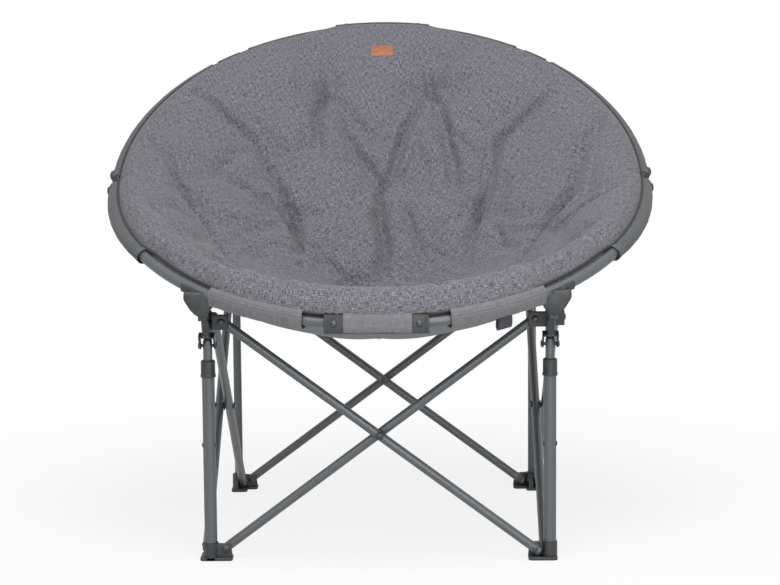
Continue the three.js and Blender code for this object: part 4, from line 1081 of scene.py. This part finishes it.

# Edge binding: a tape rolled round the pad's edge, from the front sleeves to the back middle, coloured near
# black so that it also paints the shadow of the seam between the pad and its sleeve. It is sewn down along
# the sleeves and free beside the saddles.
binding_radius = 2.8 * MM
binding_step = 5 * MM
binding_sides = 12
binding_merge = 0.01 * MM
binding_runs = (("front", 34, 89.6), ("back", 90.4, 179.9))
# The tape's near-black colours are partly painted shadow, the shade of the seam between the pad and its
# sleeve
binding_with_painted_seam_shadow = oxford("polyester_binding_tape_with_painted_seam_shadow", "#1d1f21", "#2b2d30", pitch=1.2 * MM)
for name, low, high in binding_runs:
    for hand, side in hands:
        start, end = -side * radians(low), -side * radians(high)

        def binding_place(across, along):
            """A point of the rolled tape."""
            angle = start + (end - start) * across
            line = edge_line(angle)
            out, off = rim_line(angle)[1:]
            around = tau * along
            return line + binding_radius * (out * np.cos(around)[:, None] + off * np.sin(around)[:, None])

        length = radians(high - low) * rim_radius
        columns = int(length / binding_step)
        tape = draped(columns, binding_sides, binding_place, length, tau * binding_radius)
        bmesh.ops.remove_doubles(tape, verts=tape.verts, dist=binding_merge)
        bmesh.ops.holes_fill(tape, edges=[e for e in tape.edges if e.is_boundary], sides=binding_sides)
        finished(f"edge_binding_{name}_{hand}", tape, [binding_with_painted_seam_shadow], seat_body(start))

# Pad: one quilted cushion of polyester wadding in a melange cloth, deepest in a roll along the front.
# Hidden ties pull it down in tufts, and the slack cloth creases between them and the rim.
pad_depth = 47 * MM
pad_front_extra = 15 * MM
pad_roll = 38 * MM
pad_back_roll = 95 * MM
pad_roll_change = (0.2, 0.7)
pad_edge_reach = 46 * MM
pad_cells = 200
tuft_depth = 17 * MM
tuft_radius = 32 * MM
tuft_pit_depth = 8 * MM
tuft_pit_radius = 8 * MM
tuft_pixels = ((324, 99), (433, 97), (383, 185), (293, 222), (476, 213), (354, 284))
tuft_held_radius = 5 * MM
edge_held_share = 0.992
crease_share = 2.1
crease_width_share = 0.8
crease_run_start = 0.06
crease_run_share = 0.9
crease_fade_power = 0.6
crease_valley_power = 1.2
crease_held_half = 3.2 * MM
crease_held_fade = 0.55
crease_shoulder = 0.35
crease_shoulder_place = 2.3
crease_shoulder_width = 1.5
# Each crease: its depth and its width in millimetres, and its line in pixels of the photograph
crease_pixels = (
    (11, 10, ((201, 97), (248, 137), (257, 147), (280, 193), (294, 222), (301, 250), (282, 284))),
    (9, 10, ((156, 142), (166, 152), (179, 184), (207, 224), (222, 247), (238, 267))),
    (6, 8, ((156, 207), (182, 235), (205, 260))),
    (6, 9, ((221, 172), (263, 201), (288, 221))),
    (8, 8, ((317, 74), (324, 98), (317, 115), (319, 149))),
    (10, 9, ((335, 118), (350, 142), (366, 166), (380, 186))),
    (10, 9, ((387, 186), (404, 137), (413, 117), (429, 92))),
    (13, 11, ((381, 186), (380, 218), (386, 248), (380, 279))),
    (8, 8, ((404, 207), (422, 253), (439, 287))),
    (7, 7, ((425, 68), (433, 98))),
    (6, 7, ((451, 62), (433, 98))),
    (9, 10, ((436, 101), (446, 131), (453, 167), (454, 193))),
    (11, 10, ((548, 97), (525, 117), (500, 141), (488, 190), (476, 213), (470, 244), (468, 268))),
    (7, 8, ((488, 152), (484, 167), (480, 190))),
    (10, 10, ((600, 120), (581, 152), (571, 193), (543, 228), (520, 264))),
    (7, 8, ((592, 200), (551, 231), (531, 268))),
    (7, 8, ((497, 228), (502, 246), (502, 274))),
    (5, 6, ((300, 270), (312, 247), (338, 272))),
    (5, 6, ((424, 243), (443, 257))),
    (5, 8, ((236, 222), (256, 256), (262, 282))),
    (5, 8, ((602, 232), (572, 262))),
    (4, 6, ((184, 268), (193, 259))),
    (4, 6, ((562, 261), (571, 272))),
)


def pad_height(angle, share):
    """The pad's top above the bowl before it is tufted: rolled at its edge and fuller at the front."""
    inset = (1 - share) * bowl_slope(angle)
    back_share = (1 - np.cos(angle)) / 2
    width = pad_roll + (pad_back_roll - pad_roll) * eased(*pad_roll_change, back_share)
    roll = np.sqrt(1 - (1 - np.minimum(inset / width, 1)) ** 2)
    return (pad_depth + pad_front_extra * (1 - back_share) ** 2) * roll


def pad_surface(angle, share):
    """The pad's untufted top, drawn to the line along which its edge is sewn."""
    inset = (1 - share) * bowl_slope(angle)
    top = bowl_points(angle, share) + pad_height(angle, share)[:, None] * bowl_normals(angle, share)
    to_edge = edge_line(angle) - rim_line(angle)[0]
    return top + (1 - eased(0, pad_edge_reach, inset))[:, None] * to_edge


cover = bmesh.new()
bmesh.ops.create_grid(cover, x_segments=pad_cells, y_segments=pad_cells, size=1)
number_layer = cover.verts.layers.int.new("number")
for number, vertex in enumerate(cover.verts):
    vertex[number_layer] = number
square = np.array([tuple(vertex.co) for vertex in cover.verts])
disc_x = square[:, 0] * np.sqrt(1 - square[:, 1] ** 2 / 2)
disc_y = square[:, 1] * np.sqrt(1 - square[:, 0] ** 2 / 2)
pad_share = np.minimum(np.hypot(disc_x, disc_y), 1)
pad_angle = np.arctan2(-disc_x, -disc_y)
pad_top = pad_surface(pad_angle, pad_share)
pad_normal = bowl_normals(pad_angle, pad_share)
cover_faces = [[vertex[number_layer] for vertex in face.verts] for face in cover.faces]
sight_tree = BVHTree.FromPolygons(pad_top.tolist(), cover_faces)


def seen_on_pad(pixel):
    """The point of the untufted pad that the photograph shows at a pixel."""
    return np.array(sight_tree.ray_cast(camera_place, sight_line(*pixel))[0])


sinking = np.zeros(len(pad_top))
held_points = pad_share > edge_held_share
for depth, width, pixels in crease_pixels:
    width *= crease_width_share
    line = np.array([seen_on_pad(pixel) for pixel in pixels])
    lengths = run_lengths(line)
    nearest = np.full(len(pad_top), np.inf)
    fade = np.zeros(len(pad_top))
    for first, second, run in zip(line, line[1:], lengths):
        step = second - first
        share = np.clip((pad_top - first) @ step / (step @ step), 0, 1)
        distance = np.linalg.norm(pad_top - first - share[:, None] * step, axis=1)
        place = (run + share * np.linalg.norm(step)) / lengths[-1]
        closer = distance < nearest
        nearest = np.where(closer, distance, nearest)
        run_share = np.clip(place * crease_run_share + crease_run_start, 0, 1)
        fade = np.where(closer, np.sin(pi * run_share) ** crease_fade_power, fade)
    valley = np.exp(-((nearest / (width * MM)) ** crease_valley_power))
    from_shoulder = nearest - crease_shoulder_place * width * MM
    shoulder = np.exp(-((from_shoulder / (crease_shoulder_width * width * MM)) ** 2))
    sinking += crease_share * depth * MM * fade * (valley - crease_shoulder * shoulder)
    held_points |= (nearest < crease_held_half) & (fade > crease_held_fade)
for pixel in tuft_pixels:
    distance = np.linalg.norm(pad_top - seen_on_pad(pixel), axis=1)
    sinking += tuft_depth * np.exp(-((distance / tuft_radius) ** 2))
    sinking += tuft_pit_depth * np.exp(-((distance / tuft_pit_radius) ** 2))
    held_points |= distance < tuft_held_radius
pad_top = pad_top - sinking[:, None] * pad_normal
for vertex in cover.verts:
    vertex.co = pad_top[vertex[number_layer]]


swell_frames = 20
swell_most = 10 * MM
swell_at_edge = 0.15
swell_reach = 90 * MM


def inflated(points, faces, held, loose):
    """The cover after its filling has swelled it, simulated as cloth that is held at its seams and tufts."""
    mesh = bpy.data.meshes.new("cover")
    mesh.from_pydata(points.tolist(), [], faces)
    thing = bpy.data.objects.new("cover", mesh)
    scene.collection.objects.link(thing)
    thing.vertex_groups.new(name="held").add(np.flatnonzero(held).tolist(), 1, "REPLACE")
    cloth = thing.modifiers.new("cloth", "CLOTH")
    settings = cloth.settings
    settings.quality = 6
    settings.mass = 0.25
    settings.tension_stiffness = 20
    settings.compression_stiffness = 20
    settings.shear_stiffness = 8
    settings.bending_stiffness = 0.4
    settings.use_pressure = True
    settings.uniform_pressure_force = 3
    settings.shrink_min = -0.045
    settings.vertex_group_mass = "held"
    settings.effector_weights.gravity = 0
    cloth.point_cache.frame_start = 1
    cloth.point_cache.frame_end = swell_frames
    for number in range(1, swell_frames + 1):
        scene.frame_set(number)
    swelled = thing.evaluated_get(bpy.context.evaluated_depsgraph_get()).data
    moved = np.array([tuple(vertex.co) for vertex in swelled.vertices])
    bpy.data.objects.remove(thing)
    scene.frame_set(1)
    shift = moved - points
    length = np.linalg.norm(shift, axis=1, keepdims=True)
    return points + shift * np.minimum(1, (swell_most * loose)[:, None] / np.maximum(length, 1e-9))


from_edge = (1 - pad_share) * bowl_slope(pad_angle)
loose = swell_at_edge + (1 - swell_at_edge) * eased(0, swell_reach, from_edge)
pad_top = inflated(pad_top, cover_faces, held_points, loose)
for vertex in cover.verts:
    vertex.co = pad_top[vertex[number_layer]]
bmesh.ops.smooth_vert(cover, verts=[v for v in cover.verts if not v.is_boundary], factor=0.5,
    use_axis_x=True, use_axis_y=True, use_axis_z=True)

pad_under_gap = 2 * MM
sleeve_clear = 13.6 * MM
pad_edge_thickness = 2.5 * MM
pad_edge_fade = 12 * MM
inset = (1 - pad_share) * bowl_slope(pad_angle)
lift = np.sqrt(np.maximum(sleeve_clear**2 - inset**2, 0))
pad_under = bowl_points(pad_angle, pad_share) + np.maximum(pad_under_gap, lift)[:, None] * pad_normal
at_edge = (1 - eased(0, pad_edge_fade, inset))[:, None]
edge_under = edge_line(pad_angle) - pad_edge_thickness * rim_line(pad_angle)[2]
pad_under = pad_under * (1 - at_edge) + edge_under * at_edge

steps_out = 30
cloth_middle = 0.7
reach = np.zeros(len(pad_top))
inner = pad_surface(pad_angle, 0 * pad_share)
for step in range(1, steps_out + 1):
    outer = pad_surface(pad_angle, pad_share * step / steps_out)
    reach += np.linalg.norm(outer - inner, axis=1)
    inner = outer
cloth_layer = cover.loops.layers.uv.new("cloth")
for face in cover.faces:
    for corner in face.loops:
        number = corner.vert[number_layer]
        turn = pad_angle[number]
        place = (cloth_middle - reach[number] * sin(turn), cloth_middle - reach[number] * cos(turn))
        corner[cloth_layer].uv = place
extruded = bmesh.ops.extrude_face_region(cover, geom=cover.faces[:])
for part in extruded["geom"]:
    if isinstance(part, bmesh.types.BMVert):
        part.co = pad_under[part[number_layer]]
bmesh.ops.recalc_face_normals(cover, faces=cover.faces)
cover.normal_update()
sewn_layer = cover.faces.layers.int.new("sewn")
for face in cover.faces:
    face[sewn_layer] = 1
normal_layer = cover.verts.layers.float_vector.new("cover_normal")
for vertex in cover.verts:
    vertex[normal_layer] = vertex.normal

slub_width = 0.9 * MM
slub_length = 9 * MM
# Melange polyester: light and dark yarns twisted together, so that thin slubs of both run along the
# warp and the weft. Drawn coarser than they are, so that they show
melange = woven("melange_polyester_weave", slub_width, slub_length, {"Detail": 2, "Roughness": 0.6},
    ("#2f2e33", 0.42), ("#828189", 0.6), {"Roughness": 0.9, "IOR": 1.5, "Sheen Weight": 0.15},
    (0.35, 0.35 * MM))


def seam_plane(angle):
    """The sideways way of the upright plane through the bowl's bottom and a point of the rim."""
    spoke = rim_line(np.array([angle]))[0][0] - bowl_bottom
    return Vector((spoke[1], -spoke[0], 0)).normalized()


for number in gore_numbers:
    start = number * gore_turn
    middle = start + gore_turn / 2
    gore = cover.copy()
    for angle, way in ((start, -1), (start + gore_turn, 1)):
        bmesh.ops.bisect_plane(gore, geom=gore.verts[:] + gore.edges[:] + gore.faces[:], dist=mesh_tolerance,
            plane_co=Vector(bowl_bottom), plane_no=way * seam_plane(angle), clear_outer=True)
        bmesh.ops.holes_fill(gore, edges=[e for e in gore.edges if e.is_boundary], sides=0)
    name = f"pad_gore_{number + len(gore_numbers) // 2 + 1:02d}"
    mesh = bpy.data.meshes.new(name)
    sewn = gore.faces.layers.int["sewn"]
    soft = gore.verts.layers.float_vector["cover_normal"]
    gore.normal_update()
    normals = []
    for face in gore.faces:
        for corner in face.loops:
            normals.append(tuple(corner.vert[soft].normalized() if face[sewn] else face.normal))
    gore.to_mesh(mesh)
    gore.free()
    mesh.materials.append(melange)
    mesh.shade_smooth()
    mesh.normals_split_custom_set(normals)
    thing = bpy.data.objects.new(name, mesh)
    scene.collection.objects.link(thing)
    body = seat_body(middle)
    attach(thing, body)
    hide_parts(body.replace("seat", "pad"))
    squashed_to_rim(thing, middle)
cover_tree = BVHTree.FromPolygons(pad_top.tolist(), cover_faces)
cover.free()

# Label patch: a bare piece of tan leather, fixed flat to the pad at the top of the back. It follows the
# pad's top over the place of its node.
tab_low, tab_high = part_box("tab_back")
patch_thickness = 1.4 * MM
patch_start = 80 * MM
patch_rise = 0.6 * MM
patch_bowl_share = 0.85
patch_columns = 22
patch_rows = 12
leather_pebble = 1.1 * MM
leather_clouds_per_metre = 160
# Full-grain leather: warm tan, finely pebbled, with a soft shine
leather, tree = blank_material("tan_full_grain_leather")
place = add_node(tree, "ShaderNodeTexCoord").outputs["Object"]
pebble = add_node(tree, "ShaderNodeTexVoronoi", {"Scale": 1 / leather_pebble}, {"Vector": place})
cloud = add_node(tree, "ShaderNodeTexNoise", {"Scale": leather_clouds_per_metre, "Detail": 3},
    {"Vector": place})
surfaced(tree, cloud, ("#854524", 0.3), ("#9c5a34", 0.7), {"Roughness": 0.5, "IOR": 1.5},
    relief=(pebble, 0.3, 0.15 * MM))


def patch_place(across, along):
    """A point just off the pad, over shares of the width and slope of the tab's node."""
    way_off = Vector(bowl_normals(np.array([pi]), np.array([patch_bowl_share]))[0])
    points = []
    for x_share, slope_share in zip(across, along):
        place = Vector((
            tab_low.x + (tab_high.x - tab_low.x) * x_share,
            tab_low.y + (tab_high.y - tab_low.y) * slope_share,
            tab_low.z + (tab_high.z - tab_low.z) * slope_share,
        ))
        hit = cover_tree.ray_cast(place + way_off * patch_start, -way_off)[0]
        points.append(tuple(hit + way_off * patch_rise))
    return np.array(points)


patch_slope = (tab_high - tab_low).yz.length
patch = draped(patch_columns, patch_rows, patch_place, tab_high.x - tab_low.x, patch_slope)
bmesh.ops.recalc_face_normals(patch, faces=patch.faces)
if patch.faces[:][0].normal.y > 0:
    bmesh.ops.reverse_faces(patch, faces=patch.faces)
    patch.normal_update()
bmesh.ops.solidify(patch, geom=patch.faces[:], thickness=patch_thickness)
patch_thing = finished("label_patch", patch, [leather], "seat_back_left", ["tab_back"], sharp=50)
squashed_to_rim(patch_thing, pi - gore_turn / 2)

# Carrying strap: a short loop of black webbing sewn under the front right sleeve, which keeps the
# folded chair shut.
strap_turn = radians(-26)
strap_width = 25 * MM
strap_thickness = 1.6 * MM
strap_length = 60 * MM
strap_columns = 12
strap_rows = 40
strap_loop = ((-3, -13), (-5, -20), (-5.5, -29), (-2, -35), (2.5, -35), (6, -29), (6, -20), (5, -13))
webbing = oxford("black_polyester_webbing", "#26282b", "#3d4044", pitch=2 * MM)
strap_line = smooth_profile(strap_loop)


def strap_place(across, along):
    """A point of the webbing loop below the rim."""
    angle = np.full_like(across, strap_turn) + (across - 0.5) * strap_width / rim_radius
    centre, out, off = rim_line(angle)
    flat_out = out * np.array((1, 1, 0))
    flat_out /= np.linalg.norm(flat_out, axis=-1, keepdims=True)
    outs, ups = along_profile(strap_line, along)
    return centre + flat_out * outs[:, None] + np.array((0, 0, 1)) * ups[:, None]


strap = draped(strap_columns, strap_rows, strap_place, strap_width, strap_length)
bmesh.ops.recalc_face_normals(strap, faces=strap.faces)
bmesh.ops.solidify(strap, geom=strap.faces[:], thickness=strap_thickness)
finished("carry_strap_loop", strap, [webbing], "seat_front_right", ["strap_front"], sharp=50)
